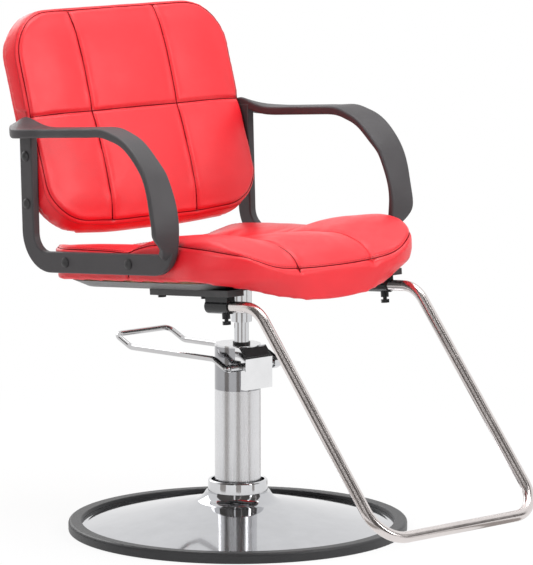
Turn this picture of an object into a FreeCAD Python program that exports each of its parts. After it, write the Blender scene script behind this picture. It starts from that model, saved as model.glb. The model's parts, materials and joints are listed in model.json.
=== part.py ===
import FreeCAD, Part
import math
import os
import re
import Sketcher

# Hydraulic barber chair, in millimetres.
# The chair faces -Y, +Z is up, and the origin is on the floor under the column's axis.
# Three frames carry the sub-parts: the column stands upright on the floor, the seat frame is
# tilted front edge up about the ram's axis, and the back frame leans away from the sitter.

SIZES = {
    # Base
    "base_diameter": 590,
    "ring_height": 18,
    "ring_width": 23,
    "ring_slot": 12,
    "ring_lip": 4,
    "ring_floor": 9,
    "ring_edge_radius": 5,
    "dish_thickness": 2,
    "dish_rise": 57,
    "dish_top_diameter": 112,
    "dish_neck_radius": 30,
    "dish_cone_diameter": 156,
    "dish_cone_rise": 39.5,
    "dish_edge_flat": 10,
    "plate_thickness": 8,
    "seating_gap": 0.3,
    "collar_diameter": 104,
    "collar_wall": 6,
    "collar_height": 21,
    "collar_foot": 4,
    # Column and hydraulics
    "column_diameter": 80,
    "column_wall": 4,
    "column_height": 248,
    "flange_diameter": 150,
    "flange_thickness": 8,
    "flange_bolt_circle": 120,
    "flange_bolt_count": 4,
    "flange_bolt_diameter": 10,
    "flange_bolt_head": 19,
    "flange_bolt_head_height": 4.5,
    "flange_bolt_recess": 1,
    "ram_offset": 10,
    "ram_diameter": 25.5,
    "ram_clearance": 0.05,
    "ram_exposed": 40,
    "cylinder_bore": 30,
    "cylinder_wall": 3,
    "cylinder_seat": 6,
    "block_height": 22,
    "piston_lift": 4,
    "piston_height": 20,
    "piston_seal_height": 4,
    "piston_seal_depth": 3,
    "washer_thickness": 3,
    "valve_diameter": 12,
    "valve_length": 26,
    "valve_offset": 22,
    # Pump head
    "head_height": 76,
    "head_shoulder": 1,
    "cap_thickness": 3,
    "guide_length": 18,
    "guide_wall": 3.2,
    "wiper_height": 7,
    "wiper_wall": 2.3,
    "shaft_reach": 40,
    "shaft_height": 45,
    "shaft_diameter": 14,
    "shaft_bore": 10.2,
    "shaft_length": 112,
    "shaft_clearance": 0.05,
    "bush_wall": 2,
    "block_width": 44,
    "cover_width": 62,
    "cover_wall": 3,
    "cover_front": 55,
    "cover_foot": 6,
    "cover_slant_depth": 17,
    "cover_slant_height": 18,
    "cheek_foot": 56,
    "ear_width": 12,
    "lid_thickness": 1.5,
    "lid_margin": 3.5,
    "cover_screw_diameter": 5,
    "cover_screw_length": 14,
    "cover_screw_spacing": 36,
    "chamber_width": 20,
    "chamber_floor": 20,
    "chamber_back": 24.8,
    "chamber_top": 55.5,
    "cam_width": 18,
    "cam_wall": 2.5,
    "cam_reach": 11.5,
    "cam_nose_radius": 3.8,
    "cam_rest_angle": 34,
    "plunger_reach": 31,
    "plunger_diameter": 8,
    "plunger_cap_diameter": 12,
    "plunger_cap_height": 2.5,
    "plunger_insertion": 8,
    "sleeve_length": 13,
    "cam_gap": 0.3,
    "sleeve_wall": 2,
    "spring_wire": 1.4,
    # Pedal
    "pedal_rod": 10,
    "pedal_half_width": 62,
    "pedal_length": 294,
    "pedal_shoulder_reach": 32,
    "pedal_shoulder_rise": 14,
    "pedal_kink_reach": 252,
    "pedal_kink_rise": 8,
    "pedal_loop_rise": 26,
    "pedal_insertion": 24,
    "pedal_root_radius": 6,
    "pedal_bend_radius": 26,
    "pedal_loop_radius": 13,
    "grub_diameter": 5,
    "grub_length": 4,
    "grub_inset": 10,
    "shaft_nut_width": 18,
    "shaft_nut_length": 13,
    # Seat mount
    "socket_diameter": 36,
    "socket_height": 77,
    "taper_length": 40,
    "taper_end_diameter": 22,
    "socket_headroom": 4,
    "seat_tilt": 5,
    "plate_half_width": 148,
    "plate_length": 180,
    "plate_sheet": 4,
    "tray_half_width": 104,
    "tray_depth": 14,
    "plate_bolt_x": 126,
    "plate_bolt_y": 59,
    "bolt_diameter": 8,
    "bolt_clearance": 0.2,
    "bolt_head": 13,
    "bolt_head_height": 5.3,
    "tee_nut_diameter": 20,
    "tee_nut_thickness": 2,
    "tee_nut_barrel": 11,
    # Footrest
    "footrest_half_width": 183,
    "footrest_tube": 19,
    "footrest_wall": 1.5,
    "footrest_drop": 28.5,
    "footrest_end": 125,
    "footrest_bend_reach": 241,
    "footrest_foot_reach": 510.5,
    "footrest_foot_drop": 401,
    "footrest_top_radius": 55,
    "footrest_foot_radius": 57,
    "rail_width": 36,
    "rail_depth": 11,
    "rail_wall": 2.5,
    "rail_rear": 9,
    "rail_front": 190,
    "rail_bolt_rear": 1,
    "rail_bolt_front": 112,
    "clamp_diameter": 24,
    "clamp_front": 177,
    "clamp_length": 55,
    "clamp_fit": 0.3,
    "clamp_end_wall": 2.5,
    "saddle_width": 18,
    "boss_diameter": 14,
    "boss_length": 8.5,
    "set_screw_setback": 14,
    "set_screw_diameter": 7,
    "set_screw_gap": 0.3,
    "set_screw_exposed": 4,
    "set_screw_head": 13,
    "set_screw_head_height": 6,
    # Seat
    "pan_half_width": 232,
    "pan_rear": 238,
    "pan_front": 205,
    "pan_corner": 95,
    "pan_taper": 27,
    "pan_depth": 13,
    "pan_wall": 3,
    "pan_boss": 22,
    "board_thickness": 12,
    "board_half_width": 228,
    "board_rear": 234,
    "board_front": 201,
    "board_corner": 91,
    "soft_clearance": 0.4,
    "seat_half_width": 238,
    "seat_rear": 248,
    "seat_front": 252,
    "seat_rear_corner": 62,
    "seat_front_corner": 127,
    "seat_side_bulge": 5,
    "seat_side_bottom": 14,
    "seat_side_seam": 73,
    "seat_roll_drop": 40,
    "seat_roll_length": 95,
    "seat_front_seam_drop": 44,
    "seat_wing_height": 2,
    "seat_thigh_height": 22,
    "seat_channel_x": 84,
    "seat_cross_seam": 20,
    "seat_centre_rear": 55,
    "seat_centre_front": 74,
    # Arms
    "arm_inner": 243.5,
    "arm_plate": 15,
    "arm_band_step": 1,
    "arm_band_width": 54.5,
    "arm_band_thickness": 15,
    "arm_top_height": 278,
    "arm_front": 124,
    "arm_toe_radius": 55,
    "arm_curve_y": 4,
    "arm_curve_z": 146,
    "arm_bar_foot": 28,
    "arm_bar_height": 36,
    "post_front": 234.5,
    "post_width": 32,
    "post_lean": 3,
    "post_outer_radius": 70,
    "post_inner_radius": 30,
    "paddle_rear": 285,
    "paddle_flare": 9,
    "paddle_rise": 20,
    "arm_edge_radius": 4,
    "arm_bolt_rear": 160,
    "arm_bolt_front": 7,
    "arm_bolt_height": 46.5,
    "post_bolt_upper": 229,
    "post_bolt_lower": 147,
    "dome_diameter": 18,
    "dome_height": 6,
    "dome_edge": 1.5,
    "arm_press_lead": 60,
    "arm_press_length": 130,
    "bracket_inner": 190,
    "bracket_outer": 228,
    "bracket_sheet": 4,
    "bracket_height": 39,
    "bracket_margin": 20,
    "spacer_diameter": 16,
    "nut_thickness": 6.5,
    # Back
    "back_origin_y": 276.5,
    "back_origin_z": 278.6,
    "back_lean": 18.6,
    "back_half_width": 241,
    "back_top": 179,
    "back_bottom": 203,
    "back_corner": 84,
    "back_foot_corner": 78,
    "panel_corner": 62,
    "back_rear_spread": 2,
    "back_bottom_spread": 11,
    "back_bulge": 4,
    "back_depth": 36,
    "back_crown": 14,
    "back_channel_x": 96,
    "back_cross_seam": 6,
    "back_channel_depth": 4,
    "panel_thickness": 13,
    "panel_crown": 4,
    "back_board_half_width": 212,
    "back_board_top": 150,
    "back_board_bottom": 172,
    "back_board_corner": 45,
    "back_bracket_depth": 4,
    "back_bracket_rear": 47,
    "back_bracket_inner": 176,
    "back_bracket_margin": 12,
    "board_bolt_x": 190,
    "board_bolt_diameter": 6,
    "board_bolt_head": 12,
    "board_bolt_head_height": 3.5,
}

V = FreeCAD.Vector
DOC = FreeCAD.newDocument("barber_chair")
SHEET = DOC.addObject("Spreadsheet::Sheet", "Sizes")
for sheet_row, (size_name, size_value) in enumerate(SIZES.items(), 1):
    SHEET.set(f"A{sheet_row}", size_name)
    SHEET.set(f"B{sheet_row}", str(size_value))
    SHEET.setAlias(f"B{sheet_row}", size_name)
DOC.recompute()
PROBE = DOC.addObject("App::FeaturePython", "Probe")
PROBE.addProperty("App::PropertyFloat", "Value")
NODES = []


def formula(text):
    """The text as an expression, with the sheet's name before each size in it."""
    return re.sub(r"[a-z]\w*", lambda word: "Sizes." + word[0] if word[0] in SIZES else word[0], text)


def number(text):
    """What a formula comes to, in millimetres or degrees."""
    PROBE.setExpression("Value", formula(text))
    PROBE.recompute()
    return PROBE.Value


def bind(piece, **properties):
    """Tie properties to formulas."""
    for name, text in properties.items():
        piece.setExpression(name.replace("__", "."), formula(text))
    return piece


def name_node(piece, label):
    """Give a finished sub-part its name and list it for export."""
    piece.Label = label
    NODES.append(piece)
    return piece


# Frames

COLUMN_FRAME = ("0", "0", None, "0")
RAM_FRAME = ("0 - ram_offset", "0", None, "0")
HEAD_TOP = "column_height + head_height + cap_thickness"
SEAT_DATUM = f"{HEAD_TOP} + ram_exposed + socket_height"
UPRIGHT_FRAME = ("0 - ram_offset", SEAT_DATUM, None, "0")
SEAT_FRAME = ("0 - ram_offset", SEAT_DATUM, V(-1, 0, 0), "seat_tilt")
BACK_FRAME = ("back_origin_y - ram_offset", f"{SEAT_DATUM} + back_origin_z", V(-1, 0, 0), "back_lean")


def place(piece, frame):
    """Set a piece, drawn in a frame's own coordinates, where that frame stands."""
    along, up, axis, angle = frame
    if axis is not None:
        piece.Placement = FreeCAD.Placement(V(), FreeCAD.Rotation(axis, number(angle)))
        bind(piece, Placement__Rotation__Angle=angle)
    bind(piece, Placement__Base__y=along, Placement__Base__z=up)
    return piece


# Primitives

TURNS = {
    "X": FreeCAD.Rotation(V(0, 1, 0), 90),
    "Y": FreeCAD.Rotation(V(1, 0, 0), -90),
    "Z": FreeCAD.Rotation(),
}


def cylinder(diameter, length, x="0", y="0", z="0", along="Z"):
    piece = DOC.addObject("Part::Cylinder", "Cylinder")
    piece.Placement = FreeCAD.Placement(V(), TURNS[along])
    bind(piece, Radius=f"({diameter}) / 2", Height=length)
    return bind(piece, Placement__Base__x=x, Placement__Base__y=y, Placement__Base__z=z)


def box(x, y, z, width, depth, height):
    piece = DOC.addObject("Part::Box", "Box")
    bind(piece, Length=width, Width=depth, Height=height)
    return bind(piece, Placement__Base__x=x, Placement__Base__y=y, Placement__Base__z=z)


def centred_box(y, z, width, depth, height):
    """A box that straddles the chair's middle plane."""
    return box(f"0 - ({width}) / 2", y, z, width, depth, height)


def on_one_side(side, near, far, y, z, depth, height):
    """A box between two distances from the chair's middle plane, on one side of it."""
    return box(near if side > 0 else f"0 - ({far})", y, z, f"{far} - ({near})", depth, height)


def hexagon(across_flats, length, x, y, z, along="Z"):
    piece = DOC.addObject("Part::Prism", "Hexagon")
    piece.Polygon = 6
    piece.Placement = FreeCAD.Placement(V(), TURNS[along])
    bind(piece, Circumradius=f"({across_flats}) / 2 / cos(30)", Height=length)
    return bind(piece, Placement__Base__x=x, Placement__Base__y=y, Placement__Base__z=z)


def group(pieces):
    """Separate identical solids that share one node."""
    piece = DOC.addObject("Part::Compound", "Group")
    piece.Links = pieces
    return piece


def fuse(*pieces):
    piece = DOC.addObject("Part::MultiFuse", "Fused")
    piece.Shapes = list(pieces)
    piece.Refine = True
    return piece


def cut(base, *tools):
    piece = DOC.addObject("Part::Cut", "Cut")
    piece.Base = base
    piece.Tool = tools[0] if len(tools) == 1 else group(tools)
    return piece


def made(shape, frame=COLUMN_FRAME):
    """A feature whose shape is worked out in code."""
    piece = DOC.addObject("Part::Feature", "Made")
    piece.Shape = shape
    return place(piece, frame)


# Bodies drawn with sketches

def origin_plane(body, role):
    return next(item for item in body.Origin.OriginFeatures if item.Role == role)


def drive(sketch, kind, where, text):
    """Add a constraint and tie it to a formula."""
    index = sketch.addConstraint(Sketcher.Constraint(kind, *where, number(text)))
    label = f"size{index}"
    sketch.renameConstraint(index, label)
    sketch.setExpression("Constraints." + label, formula(text))


def new_sketch(body, plane, offset):
    sketch = body.newObject("Sketcher::SketchObject", "Outline")
    sketch.AttachmentSupport = [(origin_plane(body, plane), "")]
    sketch.MapMode = "FlatFace"
    return bind(sketch, AttachmentOffset__Base__z=offset)


def arc_between(start, finish, radius, side):
    """An arc that bulges to the right of its way for side 1 and to the left for side -1."""
    chord = finish - start
    left = V(-chord.y, chord.x, 0).normalize()
    depth = math.sqrt(radius ** 2 - (chord.Length / 2) ** 2)
    centre = (start + finish) * 0.5 + left * (side * depth)
    first, last = (start, finish) if side > 0 else (finish, start)
    angles = [math.atan2(end.y - centre.y, end.x - centre.x) for end in (first, last)]
    return Part.ArcOfCircle(Part.Circle(centre, V(0, 0, 1), radius), *angles)


def outline(body, plane, points, offset="0"):
    """A closed sketch through corners; an item ("arc", radius, side) bends the edge that follows."""
    sketch = new_sketch(body, plane, offset)
    corners = [point for point in points if point[0] != "arc"]
    bends = {}
    for place_in_list, point in enumerate(points):
        if point[0] == "arc":
            bends[place_in_list - len(bends) - 1] = point[1:]
    spots = [V(number(across), number(up), 0) for across, up in corners]
    edges = []
    for index, start in enumerate(spots):
        finish = spots[(index + 1) % len(spots)]
        if index in bends:
            radius, side = bends[index]
            curve = arc_between(start, finish, number(radius), side)
            edges.append((sketch.addGeometry(curve, False), *((1, 2) if side > 0 else (2, 1))))
        else:
            edges.append((sketch.addGeometry(Part.LineSegment(start, finish), False), 1, 2))
    for index, (edge, first, last) in enumerate(edges):
        following = edges[(index + 1) % len(edges)]
        sketch.addConstraint(Sketcher.Constraint("Coincident", edge, last, following[0], following[1]))
        drive(sketch, "DistanceX", (-1, 1, edge, first), corners[index][0])
        drive(sketch, "DistanceY", (-1, 1, edge, first), corners[index][1])
        if index in bends:
            drive(sketch, "Radius", (edge,), bends[index][0])
    return sketch


def turned(points, frame=COLUMN_FRAME):
    """A body of revolution about the frame's upright axis, from (radius, height) corners."""
    body = DOC.addObject("PartDesign::Body", "Turned")
    sketch = outline(body, "XZ_Plane", points)
    feature = body.newObject("PartDesign::Revolution", "Revolution")
    feature.Profile = sketch
    feature.ReferenceAxis = (sketch, ["V_Axis"])
    feature.Angle = 360
    return place(body, frame)


def padded(plane, points, start, length, frame=COLUMN_FRAME):
    """A body made by padding an outline from one offset of its plane."""
    body = DOC.addObject("PartDesign::Body", "Padded")
    feature = body.newObject("PartDesign::Pad", "Pad")
    feature.Profile = outline(body, plane, points, start)
    bind(feature, Length=length)
    return place(body, frame)


def round_edges(body, picks, radius):
    """Fillet the edges of a body that a test picks."""
    DOC.recompute()
    tip = body.Tip
    names = [f"Edge{index}" for index, edge in enumerate(tip.Shape.Edges, 1) if picks(edge)]
    fillet = body.newObject("PartDesign::Fillet", "Fillet")
    fillet.Base = (tip, names)
    return bind(fillet, Radius=radius)


def circle_at(radius, height):
    """A test for a turned edge of one radius at one height."""
    def test(edge):
        curve = edge.Curve
        round_edge = isinstance(curve, Part.Circle) and abs(curve.Radius - number(radius)) < 0.01
        return round_edge and abs(curve.Center.z - number(height)) < 0.01
    return test


# Paths and rounded outlines

def corner_points(before, corner, after, radius):
    """Where an arc of one radius leaves and joins two straight runs, and its middle."""
    towards_start = (before - corner).normalize()
    towards_end = (after - corner).normalize()
    half = towards_start.getAngle(towards_end) / 2
    reach = radius / math.tan(half)
    bisector = (towards_start + towards_end).normalize()
    middle = corner + bisector * (radius / math.sin(half) - radius)
    return corner + towards_start * reach, middle, corner + towards_end * reach


def rounded_path(points, radii):
    """An open path of straight runs joined by tangent arcs."""
    edges = []
    last = points[0]
    for index, radius in enumerate(radii, 1):
        first, middle, end = corner_points(points[index - 1], points[index], points[index + 1], radius)
        edges.append(Part.LineSegment(last, first).toShape())
        edges.append(Part.Arc(first, middle, end).toShape())
        last = end
    edges.append(Part.LineSegment(last, points[-1]).toShape())
    return Part.Wire(edges)


def tube_along(path, diameter):
    """A solid round bar along a path, square to its start."""
    start = path.Edges[0].Vertexes[0].Point
    heading = path.Edges[0].tangentAt(path.Edges[0].FirstParameter)
    section = Part.Wire(Part.makeCircle(diameter / 2, start, heading))
    return path.makePipeShell([section], True, False)


def rounded_rectangle(left, right, front, rear, front_radius, rear_radius, height):
    """A closed wire: a rectangle in plan with round corners, at one height."""
    corners = [
        (V(left, front, height), front_radius),
        (V(right, front, height), front_radius),
        (V(right, rear, height), rear_radius),
        (V(left, rear, height), rear_radius),
    ]
    edges = []
    ends = []
    for index, (corner, radius) in enumerate(corners):
        before = corners[index - 1][0]
        after = corners[(index + 1) % 4][0]
        ends.append(corner_points(before, corner, after, radius))
    for index, (first, middle, last) in enumerate(ends):
        edges.append(Part.Arc(first, middle, last).toShape())
        edges.append(Part.LineSegment(last, ends[(index + 1) % 4][0]).toShape())
    return Part.Wire(edges)


def slab(wire, height):
    """A flat wire raised straight up into a solid."""
    return Part.Face(wire).extrude(V(0, 0, height))


def solid_loft(wires, ruled=False):
    """A closed solid through wires, turned right side out."""
    shape = Part.makeLoft(wires, True, ruled, False, 5)
    solid = shape if shape.ShapeType == "Solid" else Part.Solid(shape.Shells[0])
    if solid.Volume < 0:
        solid.reverse()
    return solid


def quilted_section(station, half, edge, crest_x, crest, seam_x, seam, crown, foot, sag):
    """A closed section across a cushion: two side pads, a middle pad and a sagging underside."""
    def quarter(outer_x, outer_height):
        """The middle of an arc that is level at the crest and ends at a lower point."""
        run = outer_x - crest_x
        fall = crest - outer_height
        radius = (run ** 2 + fall ** 2) / (2 * fall)
        half_turn = math.atan2(fall, abs(run))
        reach = math.copysign(radius * math.sin(half_turn), run)
        return crest_x + reach, crest - radius * (1 - math.cos(half_turn))

    def spot(across, height):
        return V(across, station, height)

    def bend(start, middle, end):
        return Part.Arc(spot(*start), spot(*middle), spot(*end)).toShape()

    outer = quarter(half, edge)
    inner = quarter(seam_x, seam)
    corners = [(-half, edge), (-crest_x, crest), (-seam_x, seam),
               (seam_x, seam), (crest_x, crest), (half, edge)]
    middles = [(-outer[0], outer[1]), (-inner[0], inner[1]), (0, seam + crown), inner, outer]
    edges = [bend(corners[index], middles[index], corners[index + 1]) for index in range(5)]
    edges.append(Part.LineSegment(spot(half, edge), spot(half, foot)).toShape())
    edges.append(bend((half, foot), (0, foot - sag), (-half, foot)))
    edges.append(Part.LineSegment(spot(-half, foot), spot(-half, edge)).toShape())
    return Part.Wire(edges)


def side_walls(levels, half, front, rear, front_corner, rear_corner):
    """The drawn-in sides of a cushion: at each height its insets and how much rounder its front is."""
    wires = []
    for height, side_inset, front_inset, rear_inset, rounder in levels:
        wires.append(rounded_rectangle(
            side_inset - half, half - side_inset, front_inset - front, rear - rear_inset,
            front_corner - side_inset + rounder, rear_corner - side_inset, height))
    return solid_loft(wires)


def round_bar(diameter, length, start, side, y, z):
    """A round bar along X on one side of the chair, from a distance out to a greater one."""
    x = start if side > 0 else f"0 - ({start}) - ({length})"
    return cylinder(diameter, length, x, y, z, "X")


def copies(source, spots, turn="Z", flip=False):
    """Copies of one shape at several spots, as one group of separate solids."""
    DOC.recompute()
    pieces = []
    rotation = TURNS[turn]
    if flip:
        rotation = rotation.multiply(FreeCAD.Rotation(V(1, 0, 0), 180))
    for x, y, z in spots:
        piece = DOC.addObject("Part::Feature", "Copy")
        piece.Shape = source.Shape
        piece.Placement = FreeCAD.Placement(V(), rotation)
        pieces.append(bind(piece, Placement__Base__x=x, Placement__Base__y=y, Placement__Base__z=z))
    return pieces


def around(count, circle):
    """Spots spread evenly round a bolt circle."""
    turns = [f"(360 / {count} * ({index} + 0.5))" for index in range(SIZES[count])]
    return [(f"{circle} / 2 * cos({turn})", f"{circle} / 2 * sin({turn})") for turn in turns]


def rounded_outline(half, front, rear, radius):
    """Corners and arcs of a rectangle with one corner radius, for a sketch."""
    left, right = f"0 - ({half})", half
    return [
        (f"{left} + {radius}", front), (f"{right} - ({radius})", front), ("arc", radius, 1),
        (right, f"{front} + {radius}"), (right, f"{rear} - ({radius})"), ("arc", radius, 1),
        (f"{right} - ({radius})", rear), (f"{left} + {radius}", rear), ("arc", radius, 1),
        (left, f"{rear} - ({radius})"), (left, f"{front} + {radius}"), ("arc", radius, 1),
    ]


# Base

DISH_TOP = "ring_floor + dish_thickness + dish_rise"
PLATE_TOP = "plate_thickness"
FLANGE_TOP = f"{PLATE_TOP} + flange_thickness"
BLOCK_TOP = f"{PLATE_TOP} + block_height"
CYLINDER_FOOT = f"{BLOCK_TOP} - cylinder_seat"
CYLINDER_TOP = "column_height + cylinder_seat"
CYLINDER_DIAMETER = "cylinder_bore + 2 * cylinder_wall"


def make_rubber_ring():
    outer = "base_diameter / 2"
    lip = f"{outer} - ring_width"
    slot_top = "ring_floor + dish_thickness + seating_gap"
    ring = turned([
        (f"{lip} - ring_lip", "0"), (outer, "0"), (outer, "ring_height"), (lip, "ring_height"),
        (lip, slot_top), (f"{lip} + ring_slot", slot_top), (f"{lip} + ring_slot", "ring_floor"),
        (f"{lip} - ring_lip", "ring_floor"),
    ])
    round_edges(ring, circle_at(outer, "ring_height"), "ring_edge_radius")
    round_edges(ring, circle_at(outer, "0"), "ring_edge_radius / 2")
    round_edges(ring, circle_at(lip, "ring_height"), "ring_edge_radius / 3")
    name_node(ring, "rubber_ring")


def make_base_plate():
    plate = cylinder("base_diameter - 2 * (ring_width + ring_lip + seating_gap)", "plate_thickness")
    holes = []
    for x, y in around("flange_bolt_count", "flange_bolt_circle"):
        holes.append(cylinder("flange_bolt_diameter + bolt_clearance", "plate_thickness + 2", x, y, "0 - 1"))
        holes.append(cylinder("flange_bolt_head + bolt_clearance",
                              "flange_bolt_head_height + flange_bolt_recess", x, y))
    name_node(cut(plate, *holes), "base_plate")


def make_base_dish():
    """A shallow cone with a neck that sweeps up to carry the collar."""
    hole = "collar_diameter / 2 - collar_wall - dish_thickness"
    neck, cone = "dish_top_diameter / 2", "dish_cone_diameter / 2"
    foot = "ring_floor + dish_thickness"
    cone_top = f"{foot} + dish_cone_rise"
    edge = "base_diameter / 2 - ring_width - dish_edge_flat"
    rim = "base_diameter / 2 - ring_width + ring_slot - seating_gap"
    dish = turned([
        (hole, DISH_TOP), (neck, DISH_TOP), ("arc", "dish_neck_radius", 1), (cone, cone_top),
        (edge, foot), (rim, foot), (rim, "ring_floor"), (f"{edge} - dish_thickness / 4", "ring_floor"),
        (f"{cone} - dish_thickness / 4", f"{cone_top} - dish_thickness"),
        ("arc", "dish_neck_radius + dish_thickness", -1),
        (f"{neck} - dish_thickness", f"{DISH_TOP} - dish_thickness"), (hole, f"{DISH_TOP} - dish_thickness"),
    ])
    name_node(dish, "base_dish")


def make_base_collar():
    outer = "collar_diameter / 2"
    throat = "column_diameter / 2 + seating_gap"
    top = f"{DISH_TOP} + collar_height"
    collar = turned([
        (throat, DISH_TOP), (outer, DISH_TOP), (outer, top), (f"{outer} - collar_wall", top),
        (f"{outer} - collar_wall", f"{DISH_TOP} + collar_foot"), (throat, f"{DISH_TOP} + collar_foot"),
    ])
    round_edges(collar, circle_at(outer, top), "collar_wall / 2")
    round_edges(collar, circle_at(f"{outer} - collar_wall", top), "collar_wall / 6")
    name_node(collar, "base_collar")


def make_column_tube():
    outer = "column_diameter / 2"
    inner = f"{outer} - column_wall"
    tube = turned([
        (inner, PLATE_TOP), ("flange_diameter / 2", PLATE_TOP), ("flange_diameter / 2", FLANGE_TOP),
        (outer, FLANGE_TOP), (outer, "column_height"), (inner, "column_height"),
    ])
    holes = [cylinder("flange_bolt_diameter + bolt_clearance", "flange_thickness + 2", x, y,
                      f"{PLATE_TOP} - 1") for x, y in around("flange_bolt_count", "flange_bolt_circle")]
    name_node(cut(tube, *holes), "column_tube")


def make_base_bolts():
    length = "plate_thickness + flange_thickness - flange_bolt_recess"
    bolt = fuse(cylinder("flange_bolt_diameter", length),
                cylinder("flange_bolt_head", "flange_bolt_head_height"))
    spots = [(x, y, "flange_bolt_recess") for x, y in around("flange_bolt_count", "flange_bolt_circle")]
    name_node(group(copies(bolt, spots)), "base_bolts")


def make_valve_block():
    block = cylinder("column_diameter - 2 * (column_wall + seating_gap)", "block_height", z=PLATE_TOP)
    seat = cylinder(f"{CYLINDER_DIAMETER} + 2 * ram_clearance", "cylinder_seat + 1", y="0 - ram_offset",
                    z=CYLINDER_FOOT)
    pocket = cylinder("valve_diameter + 2 * ram_clearance", "valve_length", y="valve_offset",
                      z=f"{BLOCK_TOP} - valve_length / 2")
    port_height = f"{CYLINDER_FOOT} - piston_lift"
    across = cylinder("valve_diameter / 3", "valve_offset + ram_offset", y="0 - ram_offset", z=port_height,
                      along="Y")
    upward = cylinder("valve_diameter / 3", "piston_lift + 1", y="0 - ram_offset", z=port_height)
    name_node(cut(block, seat, pocket, across, upward), "valve_block")


def make_valve(label, foot):
    """A brass cartridge: a round body with a hexagonal top and a drilled passage."""
    barrel = cylinder("valve_diameter", "valve_length * 0.75", y="valve_offset", z=foot)
    top = hexagon("valve_diameter * 0.8", "valve_length * 0.25", "0", "valve_offset",
                  f"{foot} + valve_length * 0.75")
    bore = cylinder("valve_diameter / 3", "valve_length * 0.6", y="valve_offset", z=foot)
    name_node(cut(fuse(barrel, top), bore), label)


def make_pressure_cylinder():
    length = f"{CYLINDER_TOP} - ({CYLINDER_FOOT})"
    outside = cylinder(CYLINDER_DIAMETER, length, z=CYLINDER_FOOT)
    inside = cylinder("cylinder_bore", f"{length} + 2", z=f"{CYLINDER_FOOT} - 1")
    name_node(place(cut(outside, inside), RAM_FRAME), "pressure_cylinder")


# Pump head

HEAD_SHELF = "column_height + head_height"
COVER_TOP = f"{HEAD_SHELF} - head_shoulder + cover_wall"
SLANT_FOOT = f"{COVER_TOP} - cover_slant_height"
SLANT = "(atan(cover_slant_height / cover_slant_depth) / 1 deg)"
SHAFT_Y = "0 - shaft_reach"
SHAFT_Z = "column_height + shaft_height"
CHAMBER_FLOOR = "column_height + chamber_floor"
GUIDE_DIAMETER = "ram_diameter + 2 * (ram_clearance + guide_wall)"
WIPER_DIAMETER = "ram_diameter + 2 * (ram_clearance + wiper_wall)"
SLEEVE_DIAMETER = "plunger_diameter + 2 * (shaft_clearance + sleeve_wall)"


def front_of_head(inset, rear, foot):
    """Side view of the pump box with its slanted front corner, drawn in by an inset."""
    front = f"{inset} - cover_front"
    return [
        (front, foot), (rear, foot), (rear, f"{COVER_TOP} - ({inset})"),
        (f"cover_slant_depth - cover_front + ({inset}) * tan({SLANT} / 2)", f"{COVER_TOP} - ({inset})"),
        (front, f"{SLANT_FOOT} - ({inset}) * tan(45 - {SLANT} / 2)"),
    ]


def make_pump_head():
    post = cylinder("column_diameter", "head_height", z="column_height")
    foot = "column_height + cover_foot + 2"
    profile = front_of_head("cover_wall + seating_gap", "0", foot)
    box_part = padded("YZ_Plane", profile, "0 - block_width / 2", "block_width")
    ram_axis = "0 - ram_offset"
    tools = [
        cylinder(f"{CYLINDER_DIAMETER} + 2 * ram_clearance", "cylinder_seat + 1", y=ram_axis,
                 z="column_height - 1"),
        cylinder("ram_diameter + 3 * guide_wall / 2", "head_height + 2", y=ram_axis, z="column_height - 1"),
        cylinder(f"{GUIDE_DIAMETER} + 2 * ram_clearance", "guide_length + 1", y=ram_axis,
                 z=f"{HEAD_SHELF} - guide_length"),
        cylinder("valve_diameter + 2 * ram_clearance", "valve_length + 1", y="valve_offset",
                 z="column_height - 1"),
        centred_box("0 - cover_front", CHAMBER_FLOOR, "chamber_width", "cover_front - chamber_back",
                    "chamber_top - chamber_floor"),
        cylinder(f"{SLEEVE_DIAMETER} + 2 * shaft_clearance", "sleeve_length + 1", y="0 - plunger_reach",
                 z=f"{CHAMBER_FLOOR} - sleeve_length"),
        cylinder("shaft_diameter + 2 * (bush_wall + shaft_clearance)", "block_width + 2",
                 "0 - block_width / 2 - 1", SHAFT_Y, SHAFT_Z, "X"),
    ]
    for side in (-1, 1):
        tools.append(slant_bar("cover_screw_diameter", "cover_screw_length", side, "cover_wall"))
    name_node(cut(fuse(post, box_part), *tools), "pump_head")


def slant_bar(diameter, length, side, depth):
    """A bar square to the slanted face, sunk below it by a depth, at one of the two screws."""
    bar = cylinder(diameter, length)
    bar.Placement = FreeCAD.Placement(V(), FreeCAD.Rotation(V(1, 0, 0), 180 + number(SLANT)))
    sink = f"({depth})"
    bind(bar, Placement__Rotation__Angle=f"180 + {SLANT}",
         Placement__Base__x=f"{side} * cover_screw_spacing / 2",
         Placement__Base__y=f"cover_slant_depth / 2 - cover_front + {sink} * sin({SLANT})",
         Placement__Base__z=f"{SLANT_FOOT} + cover_slant_height / 2 - {sink} * cos({SLANT})")
    return bar


def make_ram_guide():
    outside = cylinder(GUIDE_DIAMETER, "guide_length", z=f"{HEAD_SHELF} - guide_length")
    inside = cylinder("ram_diameter + 2 * ram_clearance", "guide_length + 2",
                      z=f"{HEAD_SHELF} - guide_length - 1")
    name_node(place(cut(outside, inside), RAM_FRAME), "ram_guide")


def make_wiper_ring():
    outside = cylinder(WIPER_DIAMETER, "wiper_height", z=HEAD_SHELF)
    inside = cylinder("ram_diameter + 2 * ram_clearance", "wiper_height + 2", z=f"{HEAD_SHELF} - 1")
    name_node(place(cut(outside, inside), RAM_FRAME), "wiper_ring")


def make_head_cap():
    plate = cylinder("column_diameter", "cap_thickness", z=HEAD_SHELF)
    hole = cylinder(f"{WIPER_DIAMETER} + 2 * ram_clearance", "cap_thickness + 2", y="0 - ram_offset",
                    z=f"{HEAD_SHELF} - 1")
    name_node(cut(plate, hole), "head_cap")


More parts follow.
